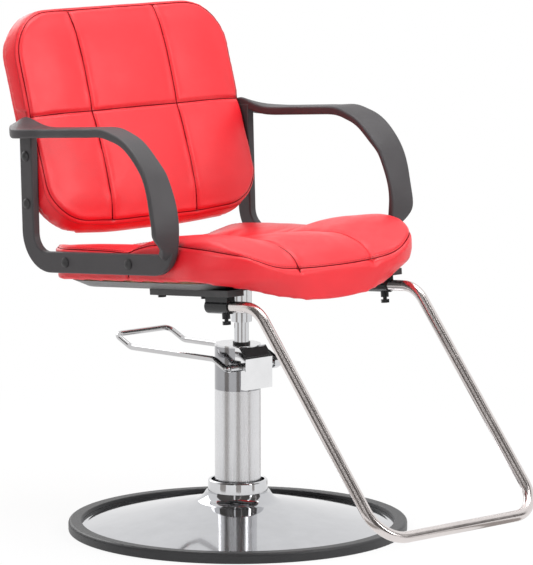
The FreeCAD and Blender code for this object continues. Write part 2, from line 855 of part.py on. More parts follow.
def make_pump_cover():
    foot = "column_height + cover_foot"
    cheek = "column_height + cheek_foot"
    front, top, rear = "0 - cover_front", COVER_TOP, "seating_gap - shaft_reach + ear_width"
    outside = padded("YZ_Plane", [
        (front, foot), (f"{front} + ear_width", foot), (f"{front} + ear_width", cheek), (rear, cheek),
        (rear, top), (f"{front} + cover_slant_depth", top), (front, SLANT_FOOT),
    ], "0 - cover_width / 2", "cover_width")
    inside = padded("YZ_Plane", front_of_head("cover_wall", "0", f"{foot} - 1"),
                    "cover_wall - cover_width / 2", "cover_width - 2 * cover_wall")
    column = cylinder("column_diameter + 2 * seating_gap", "head_height + 20", z="column_height")
    shaft = cylinder("shaft_diameter + 4 * seating_gap", "cover_width + 2", "0 - cover_width / 2 - 1",
                     SHAFT_Y, SHAFT_Z, "X")
    tools = [inside, column, shaft]
    for side in (-1, 1):
        tools.append(slant_bar("cover_screw_diameter + bolt_clearance", "cover_wall * 3", side,
                               "0 - cover_wall"))
        tools.append(slant_bar("cover_screw_diameter * 1.7", "cover_wall * 1.6", side, "0 - cover_wall"))
    name_node(cut(outside, *tools), "pump_cover")


def make_cover_plate():
    length = "sqrt(cover_slant_depth ^ 2 + cover_slant_height ^ 2) - 2 * lid_margin"
    plate = box("lid_margin - cover_width / 2", "0", "0", "cover_width - 2 * lid_margin", length,
                "lid_thickness")
    plate.Placement = FreeCAD.Placement(V(), FreeCAD.Rotation(V(1, 0, 0), number(SLANT)))
    bind(plate, Placement__Rotation__Angle=SLANT,
         Placement__Base__x="lid_margin - cover_width / 2",
         Placement__Base__y=f"lid_margin * cos({SLANT}) - cover_front",
         Placement__Base__z=f"{SLANT_FOOT} + lid_margin * sin({SLANT})")
    name_node(plate, "cover_plate")


def make_cover_screws():
    screws = []
    for side in (-1, 1):
        shank = slant_bar("cover_screw_diameter", "cover_screw_length", side, "cover_wall * 0.4")
        head = slant_bar("cover_screw_diameter * 1.6", "cover_wall * 0.4", side, "cover_wall * 0.1")
        screws.append(fuse(shank, head))
    name_node(group(screws), "cover_screws")


def make_shaft_bushes():
    bushes = []
    length = "(block_width - chamber_width) / 2"
    for side in (-1, 1):
        outside = round_bar("shaft_diameter + 2 * bush_wall", length, "chamber_width / 2", side, SHAFT_Y,
                            SHAFT_Z)
        inside = round_bar("shaft_diameter + 2 * shaft_clearance", f"{length} + 2",
                           "chamber_width / 2 - 1", side, SHAFT_Y, SHAFT_Z)
        bushes.append(cut(outside, inside))
    name_node(group(bushes), "shaft_bushes")


def make_plunger_sleeve():
    foot = f"{CHAMBER_FLOOR} - sleeve_length"
    outside = cylinder(SLEEVE_DIAMETER, "sleeve_length", y="0 - plunger_reach", z=foot)
    inside = cylinder("plunger_diameter + 2 * shaft_clearance", "sleeve_length + 2", y="0 - plunger_reach",
                      z=f"{foot} - 1")
    name_node(cut(outside, inside), "plunger_sleeve")


PLUNGER_TOP = f"{SHAFT_Z} - cam_reach * sin(cam_rest_angle) - cam_nose_radius - cam_gap"


def make_pump_plunger():
    cap_foot = f"{PLUNGER_TOP} - plunger_cap_height"
    stem_foot = f"{CHAMBER_FLOOR} - plunger_insertion"
    stem = cylinder("plunger_diameter", f"{cap_foot} - ({stem_foot})", y="0 - plunger_reach", z=stem_foot)
    cap = cylinder("plunger_cap_diameter", "plunger_cap_height", y="0 - plunger_reach", z=cap_foot)
    name_node(fuse(stem, cap), "pump_plunger")


def make_plunger_spring():
    height = f"{PLUNGER_TOP} - plunger_cap_height - ({CHAMBER_FLOOR})"
    inner = "plunger_diameter + 4 * seating_gap"
    outside = cylinder(f"{inner} + 2 * spring_wire", height, y="0 - plunger_reach", z=CHAMBER_FLOOR)
    inside = cylinder(inner, f"{height} + 2", y="0 - plunger_reach", z=f"{CHAMBER_FLOOR} - 1")
    name_node(cut(outside, inside), "plunger_spring")


# Pedal

def make_pivot_shaft():
    half = "shaft_length / 2"
    shaft = cylinder("shaft_diameter", "shaft_length", f"0 - {half}", SHAFT_Y, SHAFT_Z, "X")
    tools = []
    for side in (-1, 1):
        tools.append(round_bar("shaft_bore", "pedal_insertion + 2", f"{half} - pedal_insertion - 1", side,
                               SHAFT_Y, SHAFT_Z))
        tools.append(cylinder("grub_diameter", "shaft_diameter", f"{side} * ({half} - grub_inset)", SHAFT_Y,
                              f"{SHAFT_Z} - shaft_diameter"))
    name_node(cut(shaft, *tools), "pivot_shaft")


def make_pump_cam():
    """A hub with one nose, the two joined by the straight lines that touch both."""
    hub, nose = "(shaft_diameter / 2 + cam_wall)", "cam_nose_radius"
    lean = f"(acos(({hub} - {nose}) / cam_reach) / 1 deg)"

    def around_hub(turn):
        return (f"0 - shaft_reach + {hub} * cos({turn})", f"{SHAFT_Z} + {hub} * sin({turn})")

    def around_nose(turn):
        return (f"0 - shaft_reach + cam_reach * cos(0 - cam_rest_angle) + {nose} * cos({turn})",
                f"{SHAFT_Z} + cam_reach * sin(0 - cam_rest_angle) + {nose} * sin({turn})")

    over, under = f"({lean} - cam_rest_angle)", f"(0 - {lean} - cam_rest_angle)"
    body = padded("YZ_Plane", [
        around_nose(over), around_hub(over), ("arc", hub, 1),
        around_hub("(180 - cam_rest_angle)"), ("arc", hub, 1),
        around_hub(under), around_nose(under), ("arc", nose, 1),
    ], "0 - cam_width / 2", "cam_width")
    bore = cylinder("shaft_diameter + 2 * shaft_clearance", "cam_width + 2", "0 - cam_width / 2 - 1", SHAFT_Y,
                    SHAFT_Z, "X")
    name_node(cut(body, bore), "pump_cam")


def make_pedal_handle():
    inner = number("shaft_length / 2 - pedal_insertion")
    half = number("pedal_half_width")
    y, z = number(SHAFT_Y), number(SHAFT_Z)
    side_points = [
        (inner, y, z),
        (half, y, z),
        (half, y + number("pedal_shoulder_reach"), z + number("pedal_shoulder_rise")),
        (half, y + number("pedal_kink_reach"), z + number("pedal_kink_rise")),
        (half, y + number("pedal_length"), z + number("pedal_loop_rise")),
    ]
    points = [V(-across, *rest) for across, *rest in side_points]
    points += [V(*point) for point in reversed(side_points)]
    bends = [number(name) for name in ("pedal_root_radius", "pedal_bend_radius", "pedal_bend_radius",
                                       "pedal_loop_radius")]
    path = rounded_path(points, bends + bends[::-1])
    name_node(made(tube_along(path, number("pedal_rod"))), "pedal_handle")


def make_handle_grub_screws():
    top = f"{SHAFT_Z} - pedal_rod / 2"
    screws = []
    for side in (-1, 1):
        x = f"{side} * (shaft_length / 2 - grub_inset)"
        body = cylinder("grub_diameter", "grub_length", x, SHAFT_Y, f"{top} - grub_length")
        socket = hexagon("grub_diameter / 2", "grub_length / 2", x, SHAFT_Y, f"{top} - grub_length")
        screws.append(cut(body, socket))
    name_node(group(screws), "handle_grub_screws")


def make_shaft_lock_nut():
    start = "shaft_length / 2 - shaft_nut_length"
    nut = hexagon("shaft_nut_width", "shaft_nut_length", start, SHAFT_Y, SHAFT_Z, "X")
    bore = cylinder("shaft_diameter + 2 * shaft_clearance", "shaft_nut_length + 2", f"{start} - 1", SHAFT_Y,
                    SHAFT_Z, "X")
    clear = cylinder("grub_diameter", "shaft_nut_width", "shaft_length / 2 - grub_inset", SHAFT_Y,
                     f"{SHAFT_Z} - shaft_nut_width")
    name_node(cut(nut, bore, clear), "shaft_lock_nut")


# Ram

PISTON_FOOT = f"{BLOCK_TOP} + piston_lift"
RAM_FOOT = f"{PISTON_FOOT} + piston_height + washer_thickness"
SOCKET_FOOT = f"{HEAD_TOP} + ram_exposed"


def make_ram_piston():
    outer = "cylinder_bore / 2 - ram_clearance"
    groove_foot = f"{PISTON_FOOT} + (piston_height - piston_seal_height) / 2"
    groove_top = f"{groove_foot} + piston_seal_height"
    top = f"{PISTON_FOOT} + piston_height"
    groove = f"{outer} - piston_seal_depth"
    piston = turned([
        ("0", PISTON_FOOT), (outer, PISTON_FOOT), (outer, groove_foot), (groove, groove_foot),
        (groove, groove_top), (outer, groove_top), (outer, top), ("0", top),
    ], RAM_FRAME)
    name_node(piston, "ram_piston")


def make_piston_seal():
    foot = f"{PISTON_FOOT} + (piston_height - piston_seal_height) / 2"
    outside = cylinder("cylinder_bore - 2 * ram_clearance", "piston_seal_height", z=foot)
    inside = cylinder("cylinder_bore - 2 * (ram_clearance + piston_seal_depth)", "piston_seal_height + 2",
                      z=f"{foot} - 1")
    name_node(place(cut(outside, inside), RAM_FRAME), "piston_seal")


def make_thrust_washer():
    foot = f"{PISTON_FOOT} + piston_height"
    outside = cylinder("ram_diameter", "washer_thickness", z=foot)
    inside = cylinder("ram_diameter / 3", "washer_thickness + 2", z=f"{foot} - 1")
    name_node(place(cut(outside, inside), RAM_FRAME), "thrust_washer")


def make_ram_rod():
    rod = turned([
        ("0", RAM_FOOT), ("ram_diameter / 2", RAM_FOOT), ("ram_diameter / 2", SOCKET_FOOT),
        ("taper_end_diameter / 2", f"{SOCKET_FOOT} + taper_length"), ("0", f"{SOCKET_FOOT} + taper_length"),
    ], RAM_FRAME)
    name_node(rod, "ram_rod")


def upright(along, up):
    """A point of the tilted seat frame, seen in the upright frame with the same origin."""
    return (f"(({along}) * cos(seat_tilt) + ({up}) * sin(seat_tilt))",
            f"(({up}) * cos(seat_tilt) - ({along}) * sin(seat_tilt))")


# Seat mount

SHEET_FOOT = "0 - tray_depth"
PLATE_BOLTS = [(f"{side} * plate_bolt_x", f"{end} * plate_bolt_y")
               for side in (-1, 1) for end in (-1, 1)]
RAIL_BOLTS = [(f"{side} * footrest_half_width", spot) for side in (-1, 1)
              for spot in ("0 - rail_bolt_rear", "0 - rail_bolt_front")]
BOARD_TOP = "pan_depth + board_thickness"


def make_seat_socket():
    block = cylinder("socket_diameter", "socket_height", z=SOCKET_FOOT)
    taper = DOC.addObject("Part::Cone", "Taper")
    bind(taper, Radius1="ram_diameter / 2", Radius2="taper_end_diameter / 2", Height="taper_length",
         Placement__Base__z=SOCKET_FOOT)
    relief = cylinder("taper_end_diameter", "taper_length + socket_headroom", z=SOCKET_FOOT)
    rear, up = upright("0 - plate_length / 2", SHEET_FOOT)
    above = place(centred_box("0", "0", "plate_length", "plate_length", "socket_height"),
                  (rear, f"{SEAT_DATUM} + {up}", V(-1, 0, 0), "seat_tilt"))
    name_node(place(cut(block, taper, relief, above), RAM_FRAME), "seat_socket")


def make_mechanism_plate():
    half, tray = "plate_half_width", "tray_half_width"
    inside = f"{tray} - plate_sheet"
    floor = f"{SHEET_FOOT} + plate_sheet"
    plate = padded("XZ_Plane", [
        (f"0 - {half}", "0 - plate_sheet"), (f"0 - {tray}", "0 - plate_sheet"), (f"0 - {tray}", SHEET_FOOT),
        (tray, SHEET_FOOT), (tray, "0 - plate_sheet"), (half, "0 - plate_sheet"), (half, "0"), (inside, "0"),
        (inside, floor), (f"0 - ({inside})", floor), (f"0 - ({inside})", "0"), (f"0 - {half}", "0"),
    ], "0 - plate_length / 2", "plate_length")
    holes = [cylinder("bolt_diameter + bolt_clearance", "plate_sheet + 2", x, y, "0 - plate_sheet - 1")
             for x, y in PLATE_BOLTS]
    name_node(place(cut(plate, *holes), SEAT_FRAME), "mechanism_plate")


def make_seat_bolts(label, spots, face):
    """Hexagon bolts pushed up from under a face into the tee nuts."""
    length = f"{BOARD_TOP} - 1 - ({face})"
    bolt = fuse(cylinder("bolt_diameter", length),
                hexagon("bolt_head", "bolt_head_height", "0", "0", "0 - bolt_head_height"))
    pieces = copies(bolt, [(x, y, face) for x, y in spots])
    name_node(place(group(pieces), SEAT_FRAME), label)


def make_tee_nuts():
    flange = cylinder("tee_nut_diameter", "tee_nut_thickness", z="board_thickness - tee_nut_thickness")
    barrel = cylinder("tee_nut_barrel", "board_thickness")
    bore = cylinder("bolt_diameter + bolt_clearance", "board_thickness + 2", z="0 - 1")
    nut = cut(fuse(flange, barrel), bore)
    pieces = copies(nut, [(x, y, "pan_depth") for x, y in PLATE_BOLTS + RAIL_BOLTS])
    name_node(place(group(pieces), SEAT_FRAME), "tee_nuts")


def pan_outline(inset, height):
    """The pan's edge in plan at one height, drawn in by an inset."""
    half = number("pan_half_width") - inset
    corner = number("pan_corner") - inset
    front, rear = inset - number("pan_front"), number("pan_rear") - inset
    return rounded_rectangle(-half, half, front, rear, corner, corner, height)


def make_seat_pan():
    depth, taper, wall = number("pan_depth"), number("pan_taper"), number("pan_wall")
    slope = math.atan2(depth, taper)
    outside = solid_loft([pan_outline(taper, 0), pan_outline(0, depth)], True)
    lip = wall / math.sin(slope)
    inside = solid_loft([
        pan_outline(taper * (1 - wall / depth) + lip, wall), pan_outline(lip - taper / depth, depth + 1),
    ], True)
    spots = PLATE_BOLTS + RAIL_BOLTS
    bosses = [cylinder("pan_boss", "pan_depth - pan_wall / 2", x, y, "pan_wall / 2") for x, y in spots]
    holes = [cylinder("bolt_diameter + bolt_clearance", "pan_depth + 2", x, y, "0 - 1") for x, y in spots]
    shell = made(outside.cut(inside))
    name_node(place(cut(fuse(shell, *bosses), *holes), SEAT_FRAME), "seat_pan")


def make_seat_board():
    shape = rounded_outline("board_half_width", "0 - board_front", "board_rear", "board_corner")
    board = padded("XY_Plane", shape, "pan_depth", "board_thickness")
    tools = []
    for x, y in PLATE_BOLTS + RAIL_BOLTS:
        tools.append(cylinder("tee_nut_barrel + bolt_clearance", "board_thickness + 2", x, y,
                              "pan_depth - 1"))
        tools.append(cylinder("tee_nut_diameter + bolt_clearance", "tee_nut_thickness + 1", x, y,
                              f"{BOARD_TOP} - tee_nut_thickness"))
    name_node(place(cut(board, *tools), SEAT_FRAME), "seat_board")


# Seat cushion

ARM_BOLTS = [("arm_bolt_rear", "arm_bolt_height"), ("0 - arm_bolt_front", "arm_bolt_height")]


def seat_foam():
    """The outside of the seat cushion: a quilted top over drawn-in sides and a rolled front edge."""
    half, seam = number("seat_half_width"), number("seat_side_seam")
    wing = seam + number("seat_wing_height")
    thigh = seam + number("seat_thigh_height")
    middle_rear, middle_front = number("seat_centre_rear"), number("seat_centre_front")
    front_seam = seam - number("seat_front_seam_drop")
    channel, cross = number("seat_channel_x"), number("seat_cross_seam")
    foot, front, rear = number("seat_side_bottom"), number("seat_front"), number("seat_rear")
    roll = front - number("seat_roll_length")
    drop = number("seat_roll_drop")
    edge_x, crest_x = half + number("seat_side_bulge") + 2, half - 33

    def section(station, edge, crest, middle, crown, low=0, sag=0.3):
        return quilted_section(station, edge_x, edge, crest_x, crest, channel, middle, crown, foot - low, sag)

    rear_part = solid_loft([
        section(rear + 12, seam - 7, wing - 4, middle_rear - 1, 1.5),
        section(rear - 70, seam - 6, wing, middle_rear + 1, 3),
        section(rear - 135, seam - 7, wing - 1, middle_rear + 4, 4.5),
        section(cross + 14, seam - 8, wing - 6, middle_rear + 5, 4.5),
        section(cross, seam - 9, wing - 7, middle_rear + 3, 3),
    ])
    front_part = solid_loft([
        section(cross, seam - 9, wing - 7, middle_rear + 3, 3),
        section(cross - 14, seam - 7, wing, middle_rear + 7, 4.5),
        section(cross - 38, seam - 5, thigh - 10, middle_front - 7, 5),
        section(cross - 100, seam - 4, thigh - 3, middle_front - 2, 6),
        section(-roll + 14, seam - 6, thigh - 1, middle_front, 6, 0.5, 0.5),
        section(-roll - 10, seam - 9, thigh - 5, middle_front - 2, 6, 4, 1),
        section(-roll - 40, front_seam + 30, wing + 3, middle_front - 10, 5.5, 8, 12),
        section(-roll - 66, front_seam + 16, front_seam + 30, middle_front - 22, 5, 4, drop - 10),
        section(-roll - 82, front_seam, front_seam + 12, front_seam + 6, 4, -2, drop + 3),
        section(-roll - 100, front_seam - 20, front_seam - 8, front_seam - 18, 3, 16, drop - 14),
    ])
    bulge = number("seat_side_bulge")
    walls = side_walls([
        (-46, 34, 11, 6, 80), (-20, 22, 6, 6, 72), (-4, 12, 4, 4, 52), (12, 3, 2, 1, 20),
        (seam - 30, 0.4 - bulge, 2, -2, 2), (seam, 0, 7, 1, 0), (seam + 36, 8, 24, 7, 0),
    ], half, front, rear, number("seat_front_corner"), number("seat_rear_corner"))
    return rear_part.fuse(front_part).common(walls)


def largest(shape):
    """The biggest solid of a shape, without crumbs."""
    return max(shape.Solids, key=lambda solid: solid.Volume)


def make_seat_cushion():
    gap = number("soft_clearance")
    clear = slab(pan_outline(-gap, -100), 100 + number("pan_depth") + gap)
    foam = made(largest(seat_foam().cut(clear)))
    shape = rounded_outline("board_half_width + soft_clearance", "0 - board_front - soft_clearance",
                            "board_rear + soft_clearance", "board_corner + soft_clearance")
    pocket = padded("XY_Plane", shape, "pan_depth - 2", "board_thickness + 2 + soft_clearance")
    tools = [pocket]
    length = "arm_bolt_rear + arm_bolt_front + 2 * (bracket_margin + soft_clearance)"
    start = "0 - arm_bolt_front - bracket_margin - soft_clearance"
    nut_side = "bracket_outer - bracket_sheet - nut_thickness - 3"
    outer = "bracket_outer + soft_clearance"
    inner = "bracket_inner - soft_clearance"
    for side in (-1, 1):
        tools.append(on_one_side(side, inner, outer, start, BOARD_TOP, length,
                                 "bracket_sheet + soft_clearance"))
        tools.append(on_one_side(side, nut_side, outer, start, BOARD_TOP, length,
                                 "bracket_height + soft_clearance"))
        for along, up in ARM_BOLTS:
            tools.append(round_bar("spacer_diameter + 2 * soft_clearance", "60", "bracket_outer - 1", side,
                                   along, up))
    name_node(place(cut(foam, *tools), SEAT_FRAME), "seat_cushion")


# Footrest

RAIL_LENGTH = "rail_front + rail_rear"
TUBE_LINE = "0 - footrest_drop"


def side_x(side):
    return f"{side} * footrest_half_width"


def make_footrest_rail(side, label):
    x, foot = side_x(side), "0 - rail_depth"
    outside = box(f"{x} - rail_width / 2", "0 - rail_front", foot, "rail_width", RAIL_LENGTH, "rail_depth")
    inside = box(f"{x} - rail_width / 2 + rail_wall", "0 - rail_front + rail_wall", f"{foot} + rail_wall",
                 "rail_width - 2 * rail_wall", f"{RAIL_LENGTH} - 2 * rail_wall", "rail_depth - 2 * rail_wall")
    holes = [cylinder("bolt_diameter + bolt_clearance", "rail_depth + 2", x, spot, f"{foot} - 1")
             for spot in ("0 - rail_bolt_rear", "0 - rail_bolt_front")]
    name_node(place(cut(outside, inside, *holes), SEAT_FRAME), label)


def make_footrest_clamp(side, label):
    x = side_x(side)
    screw_y = "set_screw_setback - clamp_front"
    barrel = cylinder("clamp_diameter", "clamp_length", x, "0 - clamp_front", TUBE_LINE, "Y")
    saddle = box(f"{x} - saddle_width / 2", "0 - clamp_front", TUBE_LINE, "saddle_width", "clamp_length",
                 "footrest_drop - rail_depth")
    boss = cylinder("boss_diameter", "clamp_diameter / 2 + boss_length", x, screw_y,
                    f"{TUBE_LINE} - clamp_diameter / 2 - boss_length")
    bore = cylinder("footrest_tube + 2 * clamp_fit", "clamp_length - clamp_end_wall + 1", x,
                    "0 - clamp_front - 1", TUBE_LINE, "Y")
    thread = cylinder("set_screw_diameter + 2 * shaft_clearance", "footrest_drop", x, screw_y,
                      f"{TUBE_LINE} - footrest_drop")
    name_node(place(cut(fuse(barrel, saddle, boss), bore, thread), SEAT_FRAME), label)


def make_set_screw(side, label):
    x, y = side_x(side), "set_screw_setback - clamp_front"
    tip = f"{TUBE_LINE} - footrest_tube / 2 - set_screw_gap"
    neck = f"{TUBE_LINE} - clamp_diameter / 2 - boss_length - set_screw_exposed"
    shank = cylinder("set_screw_diameter", f"{tip} - ({neck})", x, y, neck)
    head = hexagon("set_screw_head", "set_screw_head_height", x, y, f"{neck} - set_screw_head_height")
    name_node(place(fuse(shank, head), SEAT_FRAME), label)


def make_footrest_tube():
    half, line = number("footrest_half_width"), number(TUBE_LINE)
    side_points = [
        (-number("footrest_end"), line), (-number("footrest_bend_reach"), line),
        (-number("footrest_foot_reach"), -number("footrest_foot_drop")),
    ]
    points = [V(-half, *point) for point in side_points]
    points += [V(half, *point) for point in reversed(side_points)]
    top, foot = number("footrest_top_radius"), number("footrest_foot_radius")
    path = rounded_path(points, [top, foot, foot, top])
    outside = tube_along(path, number("footrest_tube"))
    inside = tube_along(path, number("footrest_tube - 2 * footrest_wall"))
    name_node(made(outside.cut(inside), SEAT_FRAME), "footrest_tube")


# Arms

ARM_FACE = "arm_inner + arm_plate"
BAND_NEAR = "arm_inner + arm_band_step"
BAR_TOP = "arm_bar_foot + arm_bar_height"


def on_post(up, back="0"):
    """How far back the leaning post's front edge, or a line behind it, is at one height."""
    return f"(post_front + (post_bolt_upper - ({up})) * tan(post_lean) + {back})"


POST_BOLTS = [(on_post(up, "post_width / 2"), up) for up in ("post_bolt_upper", "post_bolt_lower")]

# Turn round the middle of the arm's front curve; how much farther out than its radius the outer and
# inner edges of the band are there; how much thinner the band is than on top; how far its outer edge
# is drawn in towards the plate.
ARM_CURVE = [
    (90, 0, -2, 0, 0), (101, -3, -7, 1, 0), (112, -4, -10, 2, 0), (128, -5, -14, 3, 0),
    (146, -6, -13, 4, 0), (164, -6, -8, 5, 0), (180, -5, -1, 5, 0), (191, 1, 5, 4.5, 0),
    (200, 8, 10, 3, 1), (207, 12, 15, 2.5, 12), (214, 11, 19, 2, 26), (220, 7, 20, 1, 36),
]
# Distance from the paddle's rear end; how far its inner and outer edges are drawn in there, the outer
# one as a share of its flare; the rise of the two as shares of the whole rise; and the extra thickness.
ARM_PADDLE = [
    (0, 6, -4.1, 0.2, 0.1, -4), (4, 3, -3.8, 0.4, 0.16, -2), (11, 1, -3.1, 0.68, 0.22, 0),
    (21, 0, -2.2, 0.94, 0.2, 2), (31, 0, -1.3, 1, 0.12, 3), (43, 0, -0.4, 0.86, 0.07, 3),
    (56, 0, 0.35, 0.6, 0.04, 2), (73, 0, 0.75, 0.3, 0.02, 1), (97, 0, 0.5, 0.06, 0, 0),
    (122, 0, 0, 0, 0, 0),
]


def band_wire(outer, inner, inward, thickness, near, far):
    """A section of the band: a four-sided outline with round corners, across the chair."""
    along, up = inward
    step = V(0, along, up) * thickness
    corners = [V(far, *outer), V(near, *inner), V(near, *inner) + step, V(far, *outer) + step]
    radius = number("arm_edge_radius")
    ends = []
    for index in range(4):
        ends.append(corner_points(corners[index - 1], corners[index], corners[(index + 1) % 4], radius))
    edges = []
    for index, (first, bend, last) in enumerate(ends):
        edges.append(Part.Arc(first, bend, last).toShape())
        edges.append(Part.LineSegment(last, ends[(index + 1) % 4][0]).toShape())
    return Part.Wire(edges)


def arm_band():
    """The band that runs from the armrest's paddle round the front of the arm down to its foot."""
    near, far = number(BAND_NEAR), number(f"{BAND_NEAR} + arm_band_width")
    top, full = number("arm_top_height"), number("arm_band_thickness")
    middle_y, middle_z = number("arm_curve_y"), number("arm_curve_z")
    flare, rise = number("paddle_flare"), number("paddle_rise")
    wires = []
    for back, drawn_in, flared, inner_rise, outer_rise, thicker in ARM_PADDLE:
        along = number("paddle_rear") - back
        outer, inner = (along, top + outer_rise * rise), (along, top + inner_rise * rise)
        wires.append(band_wire(outer, inner, (0, -1), full + thicker, near + drawn_in, far + flared * flare))
    for along in (136, 108, 80, 52, 24):
        straight = (middle_y + along, top)
        wires.append(band_wire(straight, straight, (0, -1), full, near, far))
    for turn, outer_reach, inner_reach, thinner, drawn_in in ARM_CURVE:
        angle = math.radians(turn)
        along, up = math.cos(angle), math.sin(angle)
        reaches = [top - middle_z + extra for extra in (outer_reach, inner_reach)]
        outer, inner = [(middle_y + reach * along, middle_z + reach * up) for reach in reaches]
        wires.append(band_wire(outer, inner, (-along, -up), full - thinner, near, far - drawn_in))
    return solid_loft(wires)


def make_arms():
    """The plate with the bar and the post, and the band round the front, on both sides."""
    front = "0 - arm_front"
    crest = "arm_top_height + paddle_rise * 0.3"
    shoulder = "arm_top_height - arm_band_thickness"

    def corner(level, radius, back):
        """Where a curve leaves the level edge of the bar and where it joins the leaning post."""
        spot = on_post(level, back)
        reach = f"{radius} * tan(45 + post_lean / 2)"
        return ((f"{spot} - {reach}", level),
                (f"{spot} - {reach} * sin(post_lean)", f"{level} + {reach} * cos(post_lean)"))

    outer_start, outer_end = corner("arm_bar_foot", "post_outer_radius", "post_width")
    inner_end, inner_start = corner(BAR_TOP, "post_inner_radius", "0")
    plate = padded("YZ_Plane", [
        ("arm_toe_radius - arm_front", "arm_bar_foot"),
        outer_start, ("arc", "post_outer_radius", 1), outer_end,
        (on_post(shoulder, "post_width"), shoulder), (on_post(crest, "post_width * 0.8"), crest),
        (on_post(crest), crest), inner_start, ("arc", "post_inner_radius", -1), inner_end,
        (f"{front} + 20", BAR_TOP), (f"{front} + 12", f"{BAR_TOP} + 22"),
        (front, "arm_bar_foot + arm_toe_radius + 6"), (front, "arm_bar_foot + arm_toe_radius"),
        ("arc", "arm_toe_radius", 1),
    ], "arm_inner", "arm_plate")
    faces = [number("arm_inner"), number(ARM_FACE)]

    def on_a_side(edge):
        places = [end.Point.x for end in edge.Vertexes]
        return any(all(abs(place_x - face) < 0.01 for place_x in places) for face in faces)

    round_edges(plate, on_a_side, "arm_edge_radius * 0.7")
    holes = [round_bar("bolt_diameter + bolt_clearance", "arm_plate + 2", "arm_inner - 1", 1, *spot)
             for spot in ARM_BOLTS + POST_BOLTS]
    arm = cut(fuse(plate, made(arm_band())), *holes)
    name_node(place(arm, SEAT_FRAME), "arm_left")
    mirrored = DOC.addObject("Part::Mirroring", "Mirrored")
    mirrored.Source = arm
    mirrored.Normal = V(1, 0, 0)
    name_node(mirrored, "arm_right")


def make_dome_bolt(length):
    """A dome-headed bolt along Z, with its head's underside at zero."""
    radius, rise = "dome_diameter / 2", "(dome_height - dome_edge)"
    crown = f"(({radius}) ^ 2 + {rise} ^ 2) / (2 * {rise})"
    return turned([
        ("0", f"0 - ({length})"), ("bolt_diameter / 2", f"0 - ({length})"), ("bolt_diameter / 2", "0"),
        (radius, "0"), (radius, "dome_edge"), ("arc", crown, 1), ("0", "dome_height"),
    ])


def both_sides(source, x, spots):
    """Copies along X on both sides of the chair, the ones at -X turned round."""
    pieces = copies(source, [(x, *spot) for spot in spots], "X")
    return pieces + copies(source, [(f"0 - ({x})", *spot) for spot in spots], "X", True)


def make_arm_fasteners():
    """Bolts through each arm's plate, a spacer and a bracket into a nut inside the cushion."""
    nut_start = "bracket_outer - bracket_sheet - nut_thickness"
    bolt = make_dome_bolt(f"{ARM_FACE} - ({nut_start}) + 2")
    name_node(place(group(both_sides(bolt, ARM_FACE, ARM_BOLTS)), SEAT_FRAME), "arm_bolts")
    name_node(place(group(both_sides(bolt, ARM_FACE, POST_BOLTS)), SEAT_FRAME), "back_bolts")
    nut = cut(hexagon("bolt_head", "nut_thickness", "0", "0", "0"),
              cylinder("bolt_diameter + bolt_clearance", "nut_thickness + 2", z="0 - 1"))
    name_node(place(group(both_sides(nut, nut_start, ARM_BOLTS + POST_BOLTS)), SEAT_FRAME), "arm_nuts")
    length = "arm_inner - bracket_outer"
    spacer = cut(cylinder("spacer_diameter", length),
                 cylinder("bolt_diameter + bolt_clearance", f"{length} + 2", z="0 - 1"))
    spacers = group(both_sides(spacer, "bracket_outer", ARM_BOLTS + POST_BOLTS))
    name_node(place(spacers, SEAT_FRAME), "arm_spacers")


def make_arm_bracket(side, label):
    start = "0 - arm_bolt_front - bracket_margin"
    length = "arm_bolt_rear + arm_bolt_front + 2 * bracket_margin"
    wall_x = "bracket_outer - bracket_sheet" if side > 0 else "0 - bracket_outer"
    foot_x = "bracket_inner" if side > 0 else "0 - bracket_outer"
    foot = box(foot_x, start, BOARD_TOP, "bracket_outer - bracket_inner", length, "bracket_sheet")
    wall = box(wall_x, start, BOARD_TOP, "bracket_sheet", length, "bracket_height")
    holes = [round_bar("bolt_diameter + bolt_clearance", "bracket_sheet + 2",
                       "bracket_outer - bracket_sheet - 1", side, *spot) for spot in ARM_BOLTS]
    name_node(place(cut(fuse(foot, wall), *holes), SEAT_FRAME), label)


# Back, drawn lying down: Y runs up the back and Z comes forward

LYING_FRAME = (*BACK_FRAME[:2], V(1, 0, 0), "90 - back_lean")
FLANGE_FRONT = "0 - back_bracket_depth"
FLANGE_REAR = "0 - back_bracket_depth - bracket_sheet"
BOARD_REAR = f"{FLANGE_REAR} - board_thickness"


def lying(along, up):
    """A point of the tilted seat frame, seen in the lying back's frame."""
    upright_y, upright_z = upright(along, up)
    y, z = f"({upright_y} - back_origin_y)", f"({upright_z} - back_origin_z)"
    return (f"({y} * sin(back_lean) + {z} * cos(back_lean))",
            f"({z} * sin(back_lean) - {y} * cos(back_lean))")


BACK_BOLTS = [lying(*bolt) for bolt in POST_BOLTS]
BRACKET_FOOT = f"{BACK_BOLTS[1][0]} - back_bracket_margin"
BRACKET_LENGTH = f"{BACK_BOLTS[0][0]} - ({BACK_BOLTS[1][0]}) + 2 * back_bracket_margin"
BOARD_BOLTS = [(f"{side} * board_bolt_x", up) for side in (-1, 1) for up, forward in BACK_BOLTS]


